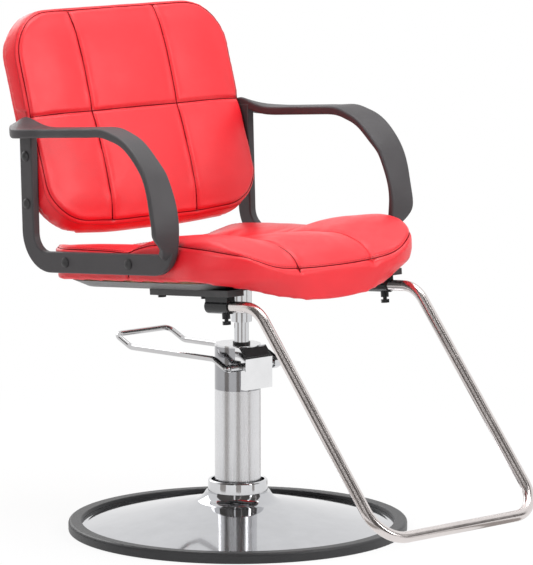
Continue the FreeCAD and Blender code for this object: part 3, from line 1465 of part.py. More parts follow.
def make_back_bracket(side, label):
    """An angle of sheet steel: a flange in front of the board and a wall inside the back's side."""
    flange = on_one_side(side, "back_bracket_inner", "bracket_outer", BRACKET_FOOT, FLANGE_REAR,
                         BRACKET_LENGTH, "bracket_sheet")
    wall = on_one_side(side, "bracket_outer - bracket_sheet", "bracket_outer", BRACKET_FOOT,
                       "0 - back_bracket_rear", BRACKET_LENGTH, "back_bracket_rear - back_bracket_depth")
    holes = []
    for up, forward in BACK_BOLTS:
        holes.append(round_bar("bolt_diameter + bolt_clearance", "bracket_sheet + 2",
                               "bracket_outer - bracket_sheet - 1", side, up, forward))
        holes.append(cylinder("board_bolt_diameter + bolt_clearance", "bracket_sheet + 2",
                              f"{side} * board_bolt_x", up, f"{FLANGE_REAR} - 1"))
    name_node(place(cut(fuse(flange, wall), *holes), LYING_FRAME), label)


def make_board_bolts():
    length = f"{FLANGE_FRONT} - ({BOARD_REAR}) - 2"
    bolt = fuse(cylinder("board_bolt_diameter", length, z=f"0 - ({length})"),
                cylinder("board_bolt_head", "board_bolt_head_height"))
    pieces = copies(bolt, [(x, up, FLANGE_FRONT) for x, up in BOARD_BOLTS])
    name_node(place(group(pieces), LYING_FRAME), "board_bolts")


def make_back_board():
    shape = rounded_outline("back_board_half_width", "0 - back_board_bottom", "back_board_top",
                            "back_board_corner")
    board = padded("XY_Plane", shape, BOARD_REAR, "board_thickness")
    holes = [cylinder("board_bolt_diameter + bolt_clearance", "board_thickness + 2", x, up,
                      f"{BOARD_REAR} - 1") for x, up in BOARD_BOLTS]
    name_node(place(cut(board, *holes), LYING_FRAME), "back_board")


def back_foam():
    """The outside of the back cushion: six crowned panels over drawn-in sides."""
    half, crown = number("back_half_width"), number("back_crown")
    top, bottom, depth = number("back_top"), number("back_bottom"), number("back_depth")
    channel, cross = number("back_channel_x"), -number("back_cross_seam")
    dip = number("back_channel_depth")
    edge_x, crest_x = half + 16, half - 75

    def section(station, height, edge, pinch=1.0):
        """The panels stand as high as the height given, less where the cross seam draws them in."""
        return quilted_section(station, edge_x, edge, crest_x, height, channel, height - dip * pinch,
                               dip * pinch * 0.9, -depth - 20, 0.3)

    upper = solid_loft([
        section(cross, crown * 0.45, -8, 0.5),
        section(cross + 10, crown * 0.72, -6.5, 0.8),
        section(cross + 34, crown * 0.92, -5.5),
        section(cross + 85, crown, -5),
        section(cross + 130, crown * 0.9, -5.5),
        section(top - 26, crown * 0.62, -7),
        section(top - 8, crown * 0.2, -9, 0.8),
        section(top + 6, -4, -14, 0.5),
        section(top + 16, -16, -24, 0.4),
    ])
    lower = solid_loft([
        section(-bottom - 16, -16, -24, 0.4),
        section(-bottom - 6, -4, -14, 0.5),
        section(8 - bottom, crown * 0.2, -9, 0.8),
        section(28 - bottom, crown * 0.62, -7),
        section(cross - 130, crown * 0.92, -5.5),
        section(cross - 80, crown, -5),
        section(cross - 34, crown * 0.92, -5.5),
        section(cross - 10, crown * 0.72, -6.5, 0.8),
        section(cross, crown * 0.45, -8, 0.5),
    ])
    spread, low, bulge = number("back_rear_spread"), number("back_bottom_spread"), number("back_bulge")
    walls = side_walls([
        (-depth, -spread, -low, -spread / 2, 0),
        (-depth / 2, -spread / 2 - bulge, -low / 2 - bulge, -spread / 4 - bulge, 0),
        (0, 0, 0, 0, 0), (depth / 2, 5, 5, 5, 0), (depth, 14, 14, 14, 0),
    ], half, bottom, top, number("back_foot_corner"), number("back_corner"))
    return upper.fuse(lower).common(walls)


def bracket_pockets():
    """Room in the back's soft parts for the brackets, their nuts and the spacers."""
    gap = "soft_clearance"
    nut_side = "bracket_outer - bracket_sheet - nut_thickness - 3"
    foot, length = f"{BRACKET_FOOT} - {gap}", f"{BRACKET_LENGTH} + 2 * {gap}"
    pockets = []
    for side in (-1, 1):
        pockets.append(on_one_side(side, nut_side, f"bracket_outer + {gap}", foot,
                                   f"0 - back_bracket_rear - {gap}", length,
                                   f"back_bracket_rear - back_bracket_depth + 2 * {gap}"))
        for up, forward in BACK_BOLTS:
            pockets.append(round_bar(f"spacer_diameter + 2 * {gap}", "40", "bracket_outer - 1", side, up,
                                     forward))
            pockets.append(round_bar(f"bolt_head / cos(30) + 2 * {gap}", "nut_thickness + 3", nut_side, side,
                                     up, forward))
    return pockets


def pressed_by_arms(piece):
    """A soft part of the back, its sides set in where the arms' posts and paddles press on them."""
    along, up = upright("post_front - arm_press_lead", "0")
    frame = (f"{along} - ram_offset", f"{SEAT_DATUM} + {up}", V(-1, 0, 0), "seat_tilt")
    height = "arm_top_height + paddle_rise + arm_edge_radius"
    tools = [place(on_one_side(side, "arm_inner - soft_clearance", ARM_FACE, "0", "0", "arm_press_length",
                               height), frame) for side in (-1, 1)]
    return cut(place(piece, LYING_FRAME), *tools)


def make_back_cushion():
    foam = made(largest(back_foam()))
    gap = "soft_clearance"
    pocket_foot = "0 - back_depth - 2"
    pocket = padded("XY_Plane", rounded_outline(
        f"back_board_half_width + {gap}", f"0 - back_board_bottom - {gap}", f"back_board_top + {gap}",
        f"back_board_corner + {gap}"), pocket_foot, f"{FLANGE_REAR} + {gap} - ({pocket_foot})")
    tools = [pocket, *bracket_pockets()]
    for side in (-1, 1):
        tools.append(on_one_side(
            side, f"back_bracket_inner - {gap}", f"bracket_outer + {gap}", f"{BRACKET_FOOT} - {gap}",
            f"{FLANGE_REAR} - {gap}", f"{BRACKET_LENGTH} + 2 * {gap}", f"bracket_sheet + 2 * {gap}"))
    for x, up in BOARD_BOLTS:
        tools.append(cylinder(f"board_bolt_head + 2 * {gap}", f"board_bolt_head_height + {gap} + 1", x, up,
                              f"{FLANGE_FRONT} - 1"))
    name_node(pressed_by_arms(cut(foam, *tools)), "back_cushion")


def make_back_panel():
    half, top, bottom = [number(name) for name in ("back_half_width", "back_top", "back_bottom")]
    spread, low = number("back_rear_spread"), number("back_bottom_spread")
    face = number("0 - back_depth - soft_clearance")
    thick, crown = number("panel_thickness"), number("panel_crown")
    corner = number("panel_corner")

    def level(height, inset):
        return height, inset - spread, inset - low, inset - spread / 2, 0

    pad = side_walls([
        level(face, 2), level(face - thick * 0.5, 0), level(face - thick, 7), level(face - thick - crown, 46),
    ], half, bottom, top, corner, corner)
    plug_top = f"{BOARD_REAR} - soft_clearance"
    shape = rounded_outline("back_board_half_width", "0 - back_board_bottom", "back_board_top",
                            "back_board_corner")
    plug = padded("XY_Plane", shape, "0 - back_depth - panel_thickness / 2",
                  f"{plug_top} + back_depth + panel_thickness / 2")
    name_node(pressed_by_arms(cut(fuse(made(pad), plug), *bracket_pockets())), "back_panel")


# The whole chair

make_rubber_ring()
make_base_plate()
make_base_dish()
make_base_collar()
make_column_tube()
make_base_bolts()
make_valve_block()
make_valve("inlet_valve", f"{BLOCK_TOP} - valve_length / 2")
make_valve("release_valve", "column_height")
make_pressure_cylinder()
make_pump_head()
make_ram_guide()
make_wiper_ring()
make_head_cap()
make_pump_cover()
make_cover_plate()
make_cover_screws()
make_shaft_bushes()
make_plunger_sleeve()
make_pump_plunger()
make_plunger_spring()
make_pivot_shaft()
make_pump_cam()
make_pedal_handle()
make_handle_grub_screws()
make_shaft_lock_nut()
make_ram_piston()
make_piston_seal()
make_thrust_washer()
make_ram_rod()
make_seat_socket()
make_mechanism_plate()
make_seat_bolts("plate_bolts", PLATE_BOLTS, "0 - plate_sheet")
make_seat_bolts("rail_bolts", RAIL_BOLTS, "0 - rail_depth")
make_tee_nuts()
make_seat_pan()
make_seat_board()
make_seat_cushion()
for hand, direction in (("left", 1), ("right", -1)):
    make_footrest_rail(direction, f"footrest_rail_{hand}")
    make_footrest_clamp(direction, f"footrest_clamp_{hand}")
    make_set_screw(direction, f"set_screw_{hand}")
    make_arm_bracket(direction, f"arm_bracket_{hand}")
    make_back_bracket(direction, f"back_bracket_{hand}")
make_footrest_tube()
make_arms()
make_arm_fasteners()
make_board_bolts()
make_back_board()
make_back_cushion()
make_back_panel()
DOC.removeObject(PROBE.Name)
DOC.recompute()

os.makedirs("parts", exist_ok=True)
for item in DOC.Objects:
    if "Invalid" in item.State or "Error" in item.State:
        raise RuntimeError(f"{item.Label}: {item.State}")
for node in NODES:
    if node.Shape.isNull() or not node.Shape.isValid() or not node.Shape.Solids:
        raise RuntimeError(f"{node.Label}: bad shape")
    Part.export([node], f"parts/{node.Label}.step")
print(f"{len(NODES)} sub-parts")
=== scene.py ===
import json
import math

import bpy
import numpy as np
from mathutils import Matrix, Vector, noise
from mathutils.bvhtree import BVHTree
from mathutils.kdtree import KDTree

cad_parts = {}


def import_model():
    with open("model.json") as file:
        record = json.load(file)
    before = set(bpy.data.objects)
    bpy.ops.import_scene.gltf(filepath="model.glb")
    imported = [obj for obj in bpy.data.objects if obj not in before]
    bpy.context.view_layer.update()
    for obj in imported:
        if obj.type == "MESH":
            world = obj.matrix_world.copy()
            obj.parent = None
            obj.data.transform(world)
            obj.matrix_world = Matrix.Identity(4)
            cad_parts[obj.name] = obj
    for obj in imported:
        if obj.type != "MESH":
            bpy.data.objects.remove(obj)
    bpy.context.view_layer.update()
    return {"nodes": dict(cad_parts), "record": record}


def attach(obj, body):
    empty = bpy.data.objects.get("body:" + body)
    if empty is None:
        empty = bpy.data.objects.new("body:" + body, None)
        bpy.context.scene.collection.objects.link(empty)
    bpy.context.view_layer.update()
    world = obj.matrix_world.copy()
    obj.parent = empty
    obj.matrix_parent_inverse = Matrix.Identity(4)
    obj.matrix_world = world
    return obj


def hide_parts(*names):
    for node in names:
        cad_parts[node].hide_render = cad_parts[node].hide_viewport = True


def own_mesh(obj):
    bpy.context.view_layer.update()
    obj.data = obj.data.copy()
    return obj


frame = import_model()
NODES = frame["nodes"]

# Frames: points across, back and up the tilted seat, and across, up and forward of the leaning back.
TILT = math.radians(5)
LEAN = math.radians(18.6)
SEAT = Matrix((
    (1, 0, 0, 0),
    (0, math.cos(TILT), math.sin(TILT), -0.010),
    (0, -math.sin(TILT), math.cos(TILT), 0.444),
    (0, 0, 0, 1),
))
BACK = Matrix((
    (1, 0, 0, 0),
    (0, math.sin(LEAN), -math.cos(LEAN), 0.2665),
    (0, math.cos(LEAN), math.sin(LEAN), 0.7226),
    (0, 0, 0, 1),
))


# Materials

EDGE_WIDTH = 0.0007
RUBBED_PAINT = (0.06, 0.06, 0.062)


def link(tree, source, target):
    tree.links.new(source, target)


def object_coordinates(tree, stretch=(1, 1, 1)):
    place = tree.nodes.new("ShaderNodeTexCoord")
    scale = tree.nodes.new("ShaderNodeMapping")
    scale.inputs["Scale"].default_value = stretch
    link(tree, place.outputs["Object"], scale.inputs["Vector"])
    return scale.outputs["Vector"]


def noise_texture(tree, vector, scale, detail=3.0, rough=0.5):
    texture = tree.nodes.new("ShaderNodeTexNoise")
    texture.inputs["Scale"].default_value = scale
    texture.inputs["Detail"].default_value = detail
    texture.inputs["Roughness"].default_value = rough
    link(tree, vector, texture.inputs["Vector"])
    return texture.outputs["Fac"]


def cell_texture(tree, vector, scale):
    """The distance to the walls between irregular cells."""
    texture = tree.nodes.new("ShaderNodeTexVoronoi")
    texture.feature = "DISTANCE_TO_EDGE"
    texture.inputs["Scale"].default_value = scale
    link(tree, vector, texture.inputs["Vector"])
    return texture.outputs["Distance"]


def spread(tree, value, low, high, from_low=0.3, from_high=0.7):
    """A value between two limits that follows a texture."""
    ranged = tree.nodes.new("ShaderNodeMapRange")
    ranged.inputs["From Min"].default_value = from_low
    ranged.inputs["From Max"].default_value = from_high
    ranged.inputs["To Min"].default_value = low
    ranged.inputs["To Max"].default_value = high
    link(tree, value, ranged.inputs["Value"])
    return ranged.outputs["Result"]


def blend_colour(tree, factor, first, second):
    mix = tree.nodes.new("ShaderNodeMix")
    mix.data_type = "RGBA"
    link(tree, factor, mix.inputs["Factor"])
    for socket, colour in (("A", first), ("B", second)):
        sockets = [item for item in mix.inputs if item.name == socket and item.type == "RGBA"]
        if isinstance(colour, tuple):
            sockets[0].default_value = (*colour, 1)
        else:
            link(tree, colour, sockets[0])
    return [item for item in mix.outputs if item.type == "RGBA"][0]


def bump(tree, height, strength, distance, normal=None):
    node = tree.nodes.new("ShaderNodeBump")
    node.inputs["Strength"].default_value = strength
    node.inputs["Distance"].default_value = distance
    link(tree, height, node.inputs["Height"])
    if normal is not None:
        link(tree, normal, node.inputs["Normal"])
    return node.outputs["Normal"]


def edge_wear(tree):
    """A value that is 0 on smooth surface and rises to 1 at a sharp edge."""
    place = tree.nodes.new("ShaderNodeNewGeometry")
    rounded = tree.nodes.new("ShaderNodeBevel")
    rounded.samples = 4
    rounded.inputs["Radius"].default_value = EDGE_WIDTH
    alike = tree.nodes.new("ShaderNodeVectorMath")
    alike.operation = "DOT_PRODUCT"
    link(tree, place.outputs["Normal"], alike.inputs[0])
    link(tree, rounded.outputs["Normal"], alike.inputs[1])
    return spread(tree, alike.outputs["Value"], 1, 0, 0.80, 0.97)


def scaled(colour, factor):
    return tuple(min(1.0, part * factor) for part in colour)


def start_material(name, metallic=0.0, **values):
    material = bpy.data.materials.new(name)
    material.use_nodes = True
    tree = material.node_tree
    shader = tree.nodes["Principled BSDF"]
    shader.inputs["Metallic"].default_value = metallic
    for key, value in values.items():
        shader.inputs[key.replace("_", " ")].default_value = value
    return material, tree, shader


def leatherette(name, colour, deep, rough=(0.36, 0.46), grain=1100.0):
    """Grained vinyl: fine pebbled cells, faint stretch marks and cloudy colour."""
    material, tree, shader = start_material(name, IOR=1.5)
    shader.inputs["Coat Weight"].default_value = 0.12
    shader.inputs["Coat Roughness"].default_value = 0.3
    vector = object_coordinates(tree)
    cloud = noise_texture(tree, vector, 9.0, 4.0, 0.55)
    pores = cell_texture(tree, vector, grain)
    colours = blend_colour(tree, spread(tree, cloud, 0, 1), deep, colour)
    pored = blend_colour(tree, spread(tree, pores, 0.35, 0, 0.0, 0.18), colours, scaled(deep, 0.55))
    link(tree, pored, shader.inputs["Base Color"])
    link(tree, spread(tree, noise_texture(tree, vector, 40.0, 3.0), *rough), shader.inputs["Roughness"])
    stretch = noise_texture(tree, object_coordinates(tree, (1, 1.8, 1.8)), 46.0, 5.0, 0.62)
    first = bump(tree, stretch, 0.16, 0.002)
    link(tree, bump(tree, pores, 0.32, 0.0006, first), shader.inputs["Normal"])
    return material


def metal(name, colour, rough, tone=0.08, brushed=None, scratch=0.02, upright=True):
    """Plated or bare metal: a cloudy tone and a fine relief, which can be a brushed grain.

    Its roughness follows upright hairlines, or cloudy patches if it isn't upright.
    """
    material, tree, shader = start_material(name, 1.0)
    vector = object_coordinates(tree)
    cloud = noise_texture(tree, vector, 22.0, 4.0, 0.6)
    link(tree, blend_colour(tree, spread(tree, cloud, 0, 1), scaled(colour, 1 - tone), colour),
         shader.inputs["Base Color"])
    marks = noise_texture(tree, object_coordinates(tree, (900, 900, 14)), 1.0, 2.0) if upright else cloud
    link(tree, spread(tree, marks, rough[0], rough[1], 0.35, 0.75), shader.inputs["Roughness"])
    if brushed:
        height = noise_texture(tree, object_coordinates(tree, brushed), 1.0, 2.0)
    else:
        height = noise_texture(tree, vector, 30.0, 2.0)
    link(tree, bump(tree, height, scratch, 0.0004), shader.inputs["Normal"])
    return material


def plastic(name, colour, rough, grain, worn=None):
    """Moulded plastic or rubber: a fine spark-eroded grain, cloudy tone and paler rubbed edges."""
    material, tree, shader = start_material(name, IOR=1.47)
    vector = object_coordinates(tree)
    cloud = noise_texture(tree, vector, 14.0, 4.0, 0.6)
    colours = blend_colour(tree, spread(tree, cloud, 0, 1), scaled(colour, 0.9), scaled(colour, 1.08))
    if worn:
        colours = blend_colour(tree, edge_wear(tree), colours, worn)
    link(tree, colours, shader.inputs["Base Color"])
    fine = noise_texture(tree, vector, grain, 2.0, 0.6)
    link(tree, spread(tree, fine, *rough), shader.inputs["Roughness"])
    link(tree, bump(tree, fine, 0.3, 0.0005), shader.inputs["Normal"])
    return material


def painted(name, colour, rough):
    """Sprayed paint on steel: faint orange peel, dust and bright rubbed edges."""
    material, tree, shader = start_material(name, IOR=1.5)
    shader.inputs["Specular IOR Level"].default_value = 0.35
    shader.inputs["Coat Weight"].default_value = 0.12
    shader.inputs["Coat Roughness"].default_value = 0.08
    vector = object_coordinates(tree)
    dust = noise_texture(tree, vector, 60.0, 5.0, 0.7)
    colours = blend_colour(tree, spread(tree, dust, 0, 1, 0.45, 0.8), colour, scaled(colour, 1.7))
    link(tree, blend_colour(tree, edge_wear(tree), colours, RUBBED_PAINT), shader.inputs["Base Color"])
    link(tree, spread(tree, dust, *rough), shader.inputs["Roughness"])
    link(tree, bump(tree, noise_texture(tree, vector, 420.0, 2.0), 0.08, 0.0006), shader.inputs["Normal"])
    return material


def plywood(name):
    """Plain plywood with a wavy grain."""
    material, tree, shader = start_material(name, IOR=1.45)
    vector = object_coordinates(tree)
    wave = tree.nodes.new("ShaderNodeTexWave")
    wave.bands_direction = "X"
    wave.inputs["Scale"].default_value = 24.0
    wave.inputs["Distortion"].default_value = 9.0
    wave.inputs["Detail"].default_value = 4.0
    link(tree, vector, wave.inputs["Vector"])
    link(tree, blend_colour(tree, wave.outputs["Fac"], (0.50, 0.33, 0.18), (0.68, 0.50, 0.30)),
         shader.inputs["Base Color"])
    link(tree, spread(tree, wave.outputs["Fac"], 0.55, 0.7, 0, 1), shader.inputs["Roughness"])
    link(tree, bump(tree, wave.outputs["Fac"], 0.12, 0.0005), shader.inputs["Normal"])
    return material


RED = leatherette("red_leatherette", (0.86, 0.016, 0.027), (0.77, 0.010, 0.020))
# The seams' thread is a near black red with no coat and little gloss. This is painted shade for the shadow
# inside each seam's groove.
SEAM_SHADE = leatherette("seam_painted_shade", (0.13, 0.002, 0.005), (0.09, 0.0015, 0.004), (0.8, 0.95))
for key, value in (("Coat Weight", 0.0), ("Specular IOR Level", 0.1)):
    SEAM_SHADE.node_tree.nodes["Principled BSDF"].inputs[key].default_value = value
RED_THREAD = leatherette("red_thread", (0.52, 0.012, 0.02), (0.42, 0.008, 0.015), (0.5, 0.6), 2600.0)
MATERIALS = {
    "rubber": plastic("rubber", (0.022, 0.022, 0.024), (0.36, 0.5), 700.0, (0.06, 0.06, 0.06)),
    "seal_rubber": plastic("seal_rubber", (0.03, 0.03, 0.03), (0.6, 0.7), 900.0),
    "chrome": metal("chrome", (0.66, 0.665, 0.68), (0.04, 0.09)),
    "satin_chrome": metal("satin_chrome", (0.72, 0.72, 0.735), (0.24, 0.32), 0.05, (700, 700, 6), 0.015),
    "steel": metal("steel", (0.74, 0.69, 0.675), (0.17, 0.23), scratch=0.004, upright=False),
    "zinc": metal("zinc", (0.62, 0.62, 0.64), (0.26, 0.38), 0.16, (300, 300, 300), 0.05),
    "black_steel": painted("black_steel", (0.007, 0.007, 0.008), (0.18, 0.28)),
    "base_steel": painted("base_steel", (0.04, 0.04, 0.04), (0.55, 0.7)),
    "casting": metal("casting", (0.38, 0.38, 0.395), (0.10, 0.18), 0.12),
    "dark_plate": painted("dark_plate", (0.034, 0.033, 0.034), (0.3, 0.4)),
    "brass": metal("brass", (0.72, 0.52, 0.24), (0.22, 0.34), 0.12),
    "bearing_bronze": metal("bearing_bronze", (0.58, 0.38, 0.20), (0.3, 0.4), 0.15),
    "black_plastic": plastic("black_plastic", (0.03, 0.03, 0.03), (0.4, 0.5), 900.0),
    "charcoal_plastic": plastic("charcoal_plastic", (0.046, 0.042, 0.045), (0.44, 0.56), 1300.0,
                                (0.085, 0.08, 0.085)),
    "plywood": plywood("plywood"),
    "red_leatherette": RED,
}
BOLT_BLACK = painted("bolt_black", (0.030, 0.029, 0.030), (0.45, 0.55))
# The rails' paint is paler than the other black steel. This is painted sheen.
RAIL_SHEEN_BLACK = painted("rail_black_painted_sheen", (0.034, 0.033, 0.034), (0.30, 0.42))
OWN_MATERIALS = {
    "arm_bolts": BOLT_BLACK,
    "back_bolts": BOLT_BLACK,
    "footrest_rail_left": RAIL_SHEEN_BLACK,
    "footrest_rail_right": RAIL_SHEEN_BLACK,
    "seat_pan": plastic("pan_plastic", (0.105, 0.100, 0.100), (0.34, 0.44), 1300.0),
    # The dish's chrome is darker than the plain chrome, which is painted shade. The pump cover's chrome is
    # paler, which is painted light.
    "base_dish": metal("dish_chrome_painted_shade", (0.57, 0.575, 0.595), (0.04, 0.09)),
    "pump_cover": metal("cover_chrome_painted_light", (0.83, 0.83, 0.84), (0.05, 0.10)),
    "head_cap": metal("cap_chrome", (0.74, 0.74, 0.755), (0.12, 0.20)),
    "pedal_handle": metal("handle_chrome", (0.58, 0.575, 0.58), (0.05, 0.09), scratch=0.004, upright=False),
}
for subpart in frame["record"]["subparts"]:
    node = NODES[subpart["node"]]
    node.data.materials.clear()
    node.data.materials.append(OWN_MATERIALS.get(subpart["node"], MATERIALS[subpart["material_slot"]]))
    for face in node.data.polygons:
        face.material_index = 0


# Mesh helpers

DOWN, UP = Vector((0, 0, -1)), Vector((0, 0, 1))
RAY_HEIGHT = 0.2
PLAN_STEP = 0.004
LINE_STEP = 0.003
CORNER_POINTS = 24


def coordinates(mesh):
    points = np.empty(len(mesh.vertices) * 3)
    mesh.vertices.foreach_get("co", points)
    return points.reshape(-1, 3)


def normals(mesh):
    found = np.empty(len(mesh.vertices) * 3)
    mesh.vertices.foreach_get("normal", found)
    return found.reshape(-1, 3)


def set_coordinates(mesh, points):
    mesh.vertices.foreach_set("co", np.ascontiguousarray(points, dtype=float).ravel())
    mesh.update()


def local(matrix, points):
    """Points of the row frame in a frame of their own."""
    inverse = np.array(matrix.inverted())
    return points @ inverse[:3, :3].T + inverse[:3, 3]


def world(matrix, points):
    """Points of a frame of their own in the row frame."""
    turn = np.array(matrix)
    return np.asarray(points, float) @ turn[:3, :3].T + turn[:3, 3]


def local_normals(matrix, mesh):
    """A mesh's normals in a frame of their own."""
    return normals(mesh) @ np.array(matrix.to_3x3())


def level(ways):
    """Directions laid flat in their frame, each one long."""
    flat = np.stack([ways[:, 0], ways[:, 1], np.zeros(len(ways))], 1)
    return flat / np.maximum(np.linalg.norm(flat, axis=1), 1e-6)[:, None]


def new_piece(name, mesh, material):
    """A piece of the upholstery, all of which turns and rises with the seat."""
    piece = bpy.data.objects.new(name, mesh)
    bpy.context.collection.objects.link(piece)
    mesh.materials.clear()
    mesh.materials.append(material)
    mesh.polygons.foreach_set("use_smooth", [True] * len(mesh.polygons))
    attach(piece, "seat")
    return piece


def evaluated_mesh(piece):
    return bpy.data.meshes.new_from_object(piece.evaluated_get(bpy.context.evaluated_depsgraph_get()))


def applied(piece, kind, **settings):
    """Adds a modifier, keeps its result as the piece's mesh and returns that mesh."""
    modifier = piece.modifiers.new(kind, kind)
    for key, value in settings.items():
        setattr(modifier, key, value)
    shape = evaluated_mesh(piece)
    piece.modifiers.clear()
    piece.data = shape
    return shape


def surface_tree(mesh):
    mesh.calc_loop_triangles()
    triangles = [tuple(triangle.vertices) for triangle in mesh.loop_triangles]
    return BVHTree.FromPolygons([vertex.co.copy() for vertex in mesh.vertices], triangles)


def sweep(paths, radius, sides):
    """A mesh of round tubes along paths of (points, closed), each with closed ends."""
    points = []
    faces = []
    for path, closed in paths:
        path = np.asarray(path, float)
        count = len(path)
        ahead = np.roll(path, -1, 0) - np.roll(path, 1, 0)
        if not closed:
            ahead[0] = path[1] - path[0]
            ahead[-1] = path[-1] - path[-2]
        ahead /= np.linalg.norm(ahead, axis=1)[:, None]
        side = np.cross(ahead[0], (0.31, 0.27, 0.91))
        base = len(points)
        for index in range(count):
            side = side - ahead[index] * (side @ ahead[index])
            side /= np.linalg.norm(side)
            other = np.cross(ahead[index], side)
            for step in range(sides):
                turn = 2 * math.pi * step / sides
                points.append(path[index] + radius * (math.cos(turn) * side + math.sin(turn) * other))
        rings = count if closed else count - 1
        for index in range(rings):
            here, there = base + index * sides, base + (index + 1) % count * sides
            for step in range(sides):
                after = (step + 1) % sides
                faces.append((here + step, here + after, there + after, there + step))
        if not closed:
            faces.append(tuple(range(base + sides - 1, base - 1, -1)))
            last = base + (count - 1) * sides
            faces.append(tuple(range(last, last + sides)))
    mesh = bpy.data.meshes.new("sweep")
    mesh.from_pydata([tuple(point) for point in points], [], faces)
    mesh.validate()
    return mesh


def resampled(path, step, closed=False):
    """A path with even steps along it."""
    path = np.asarray(path, float)
    if closed:
        path = np.vstack([path, path[:1]])
    lengths = np.concatenate([[0], np.cumsum(np.linalg.norm(np.diff(path, axis=0), axis=1))])
    count = max(2, int(round(lengths[-1] / step)))
    stops = np.linspace(0, lengths[-1], count + 1)
    if closed:
        stops = stops[:-1]
    return np.stack([np.interp(stops, lengths, path[:, axis]) for axis in range(3)], 1)


def smoothed(path, rounds, closed=False):
    """A path whose points are drawn towards their neighbours' middle."""
    path = np.array(path, float)
    for _ in range(rounds):
        middle = (np.roll(path, 1, 0) + np.roll(path, -1, 0)) / 2
        if not closed:
            middle[0], middle[-1] = path[0], path[-1]
        path = (path + middle) / 2
    return path


def on_surface(tree, path, lift=0.0):
    """Points moved to the nearest place of a surface, and off it by a lift."""
    places = []
    for point in path:
        place, normal, _, _ = tree.find_nearest(Vector(point))
        places.append(np.array(place + normal * lift))
    return np.array(places)


def meets(tree, matrix, place, way):
    """Where a ray, given in a frame of its own, meets a surface, or None if it misses."""
    return tree.ray_cast(matrix @ Vector(place), matrix.to_3x3() @ Vector(way))[0]


def laid(tree, matrix, rays):
    """The points where rays of (place, way) meet a surface."""
    hits = [meets(tree, matrix, place, way) for place, way in rays]
    return [np.array(hit) for hit in hits if hit is not None]


def straight_down(places):
    """Rays from over a cover on to places of its frame."""
    return [((across, along, RAY_HEIGHT), DOWN) for across, along in places]


def seam(tree, matrix, rays):
    """A smooth line with even steps through the points where rays meet a surface."""
    return smoothed(resampled(laid(tree, matrix, rays), LINE_STEP), 3)


def rounded_plan(half, low, high, low_radius, high_radius):
    """Points round a rectangle with round corners, from where its low edge meets the first corner."""
    low_across, high_across = half - low_radius, half - high_radius
    low_along, high_along = low + low_radius, high - high_radius
    corners = (
        (low_across, low_along, low_radius, -90),
        (high_across, high_along, high_radius, 0),
        (-high_across, high_along, high_radius, 90),
        (-low_across, low_along, low_radius, 180),
    )
    points = []
    for across, along, radius, start in corners:
        for turn in np.linspace(start, start + 90, CORNER_POINTS):
            angle = math.radians(turn)
            points.append((across + radius * math.cos(angle), along + radius * math.sin(angle), 0))
    return resampled(points, PLAN_STEP, True)


# Padded covers

VOXEL = 0.0045
POCKET_REACH = 0.09
HOLD_REACH = 0.012
SHRINK = 0.002
SWELL_CAP = 0.009
SWELL_KEPT = 0.007
CLOTH_FRAMES = 20
CLOTH_PRESSURE = 4.0
THREAD_SHARE = 0.75
STITCH_PITCH, STITCH_LENGTH = 0.0070, 0.0036
STITCH_RADIUS, STITCH_LIFT = 0.00045, 0.0002


def fine_copy(node_name, name):
    """A finely and evenly divided copy of a soft CAD solid."""
    piece = new_piece(name, NODES[node_name].data.copy(), RED)
    applied(piece, "WELD", merge_threshold=0.0002)
    mesh = applied(piece, "REMESH", mode="VOXEL", voxel_size=VOXEL, use_smooth_shade=True)
    relax(mesh, 3, np.where(facing_itself(mesh), 0.0, 0.8))
    return piece


def near_lines(mesh, lines):
    """For each vertex, its distance to the nearest point of the lines, and that point's number."""
    points = np.vstack(lines)
    tree = KDTree(len(points))
    for index, point in enumerate(points):
        tree.insert(point, index)
    tree.balance()
    found = [tree.find(vertex.co) for vertex in mesh.vertices]
    return np.array([item[2] for item in found]), np.array([item[1] for item in found])


def facing_itself(mesh):
    """True for the vertices inside pockets, whose outward way soon meets the same surface."""
    tree = surface_tree(mesh)
    hidden = np.zeros(len(mesh.vertices), bool)
    for index, vertex in enumerate(mesh.vertices):
        start = vertex.co + vertex.normal * 0.002
        hidden[index] = tree.ray_cast(start, vertex.normal, POCKET_REACH)[0] is not None
    return hidden


def held_by(mesh, lines):
    """How firmly the seams hold each vertex, from 1 close to them to 0 away from them."""
    away, _ = near_lines(mesh, lines)
    return np.clip(1.4 - away / HOLD_REACH, 0, 1)


def limited(moved, most):
    """Movements of which none is longer than the most."""
    far = np.linalg.norm(moved, axis=1)
    return moved * np.minimum(1, most / np.maximum(far, 1e-9))[:, None]


def swell(piece, held):
    """Cloth that is blown up between its held seams."""
    mesh = piece.data
    inset = (SHRINK * (1 - held))[:, None]
    start = coordinates(mesh) - normals(mesh) * inset
    set_coordinates(mesh, start)
    group = piece.vertex_groups.new(name="held")
    for index in np.nonzero(held > 0.02)[0]:
        group.add([int(index)], float(held[index]), "REPLACE")
    cloth = piece.modifiers.new("Cloth", "CLOTH")
    cloth.settings.quality = 4
    cloth.settings.mass = 0.4
    cloth.settings.tension_stiffness = 14
    cloth.settings.compression_stiffness = 14
    cloth.settings.shear_stiffness = 6
    cloth.settings.bending_stiffness = 3
    cloth.settings.use_pressure = True
    cloth.settings.uniform_pressure_force = CLOTH_PRESSURE
    cloth.settings.effector_weights.gravity = 0
    cloth.settings.vertex_group_mass = "held"
    cloth.point_cache.frame_start = 1
    cloth.point_cache.frame_end = CLOTH_FRAMES
    scene = bpy.context.scene
    for step in range(1, CLOTH_FRAMES + 1):
        scene.frame_set(step)
    moved = coordinates(evaluated_mesh(piece)) - start
    piece.modifiers.clear()
    piece.vertex_groups.clear()
    set_coordinates(mesh, start + limited(moved, SWELL_CAP))
    scene.frame_set(1)


def stuff(cover, held):
    """Swells a cover, smooths it between its seams and keeps it near the shape that it had."""
    mesh = cover.data
    before = coordinates(mesh)
    swell(cover, held)
    relax(mesh, 2, 1 - held)
    set_coordinates(mesh, before + limited(coordinates(mesh) - before, SWELL_KEPT))


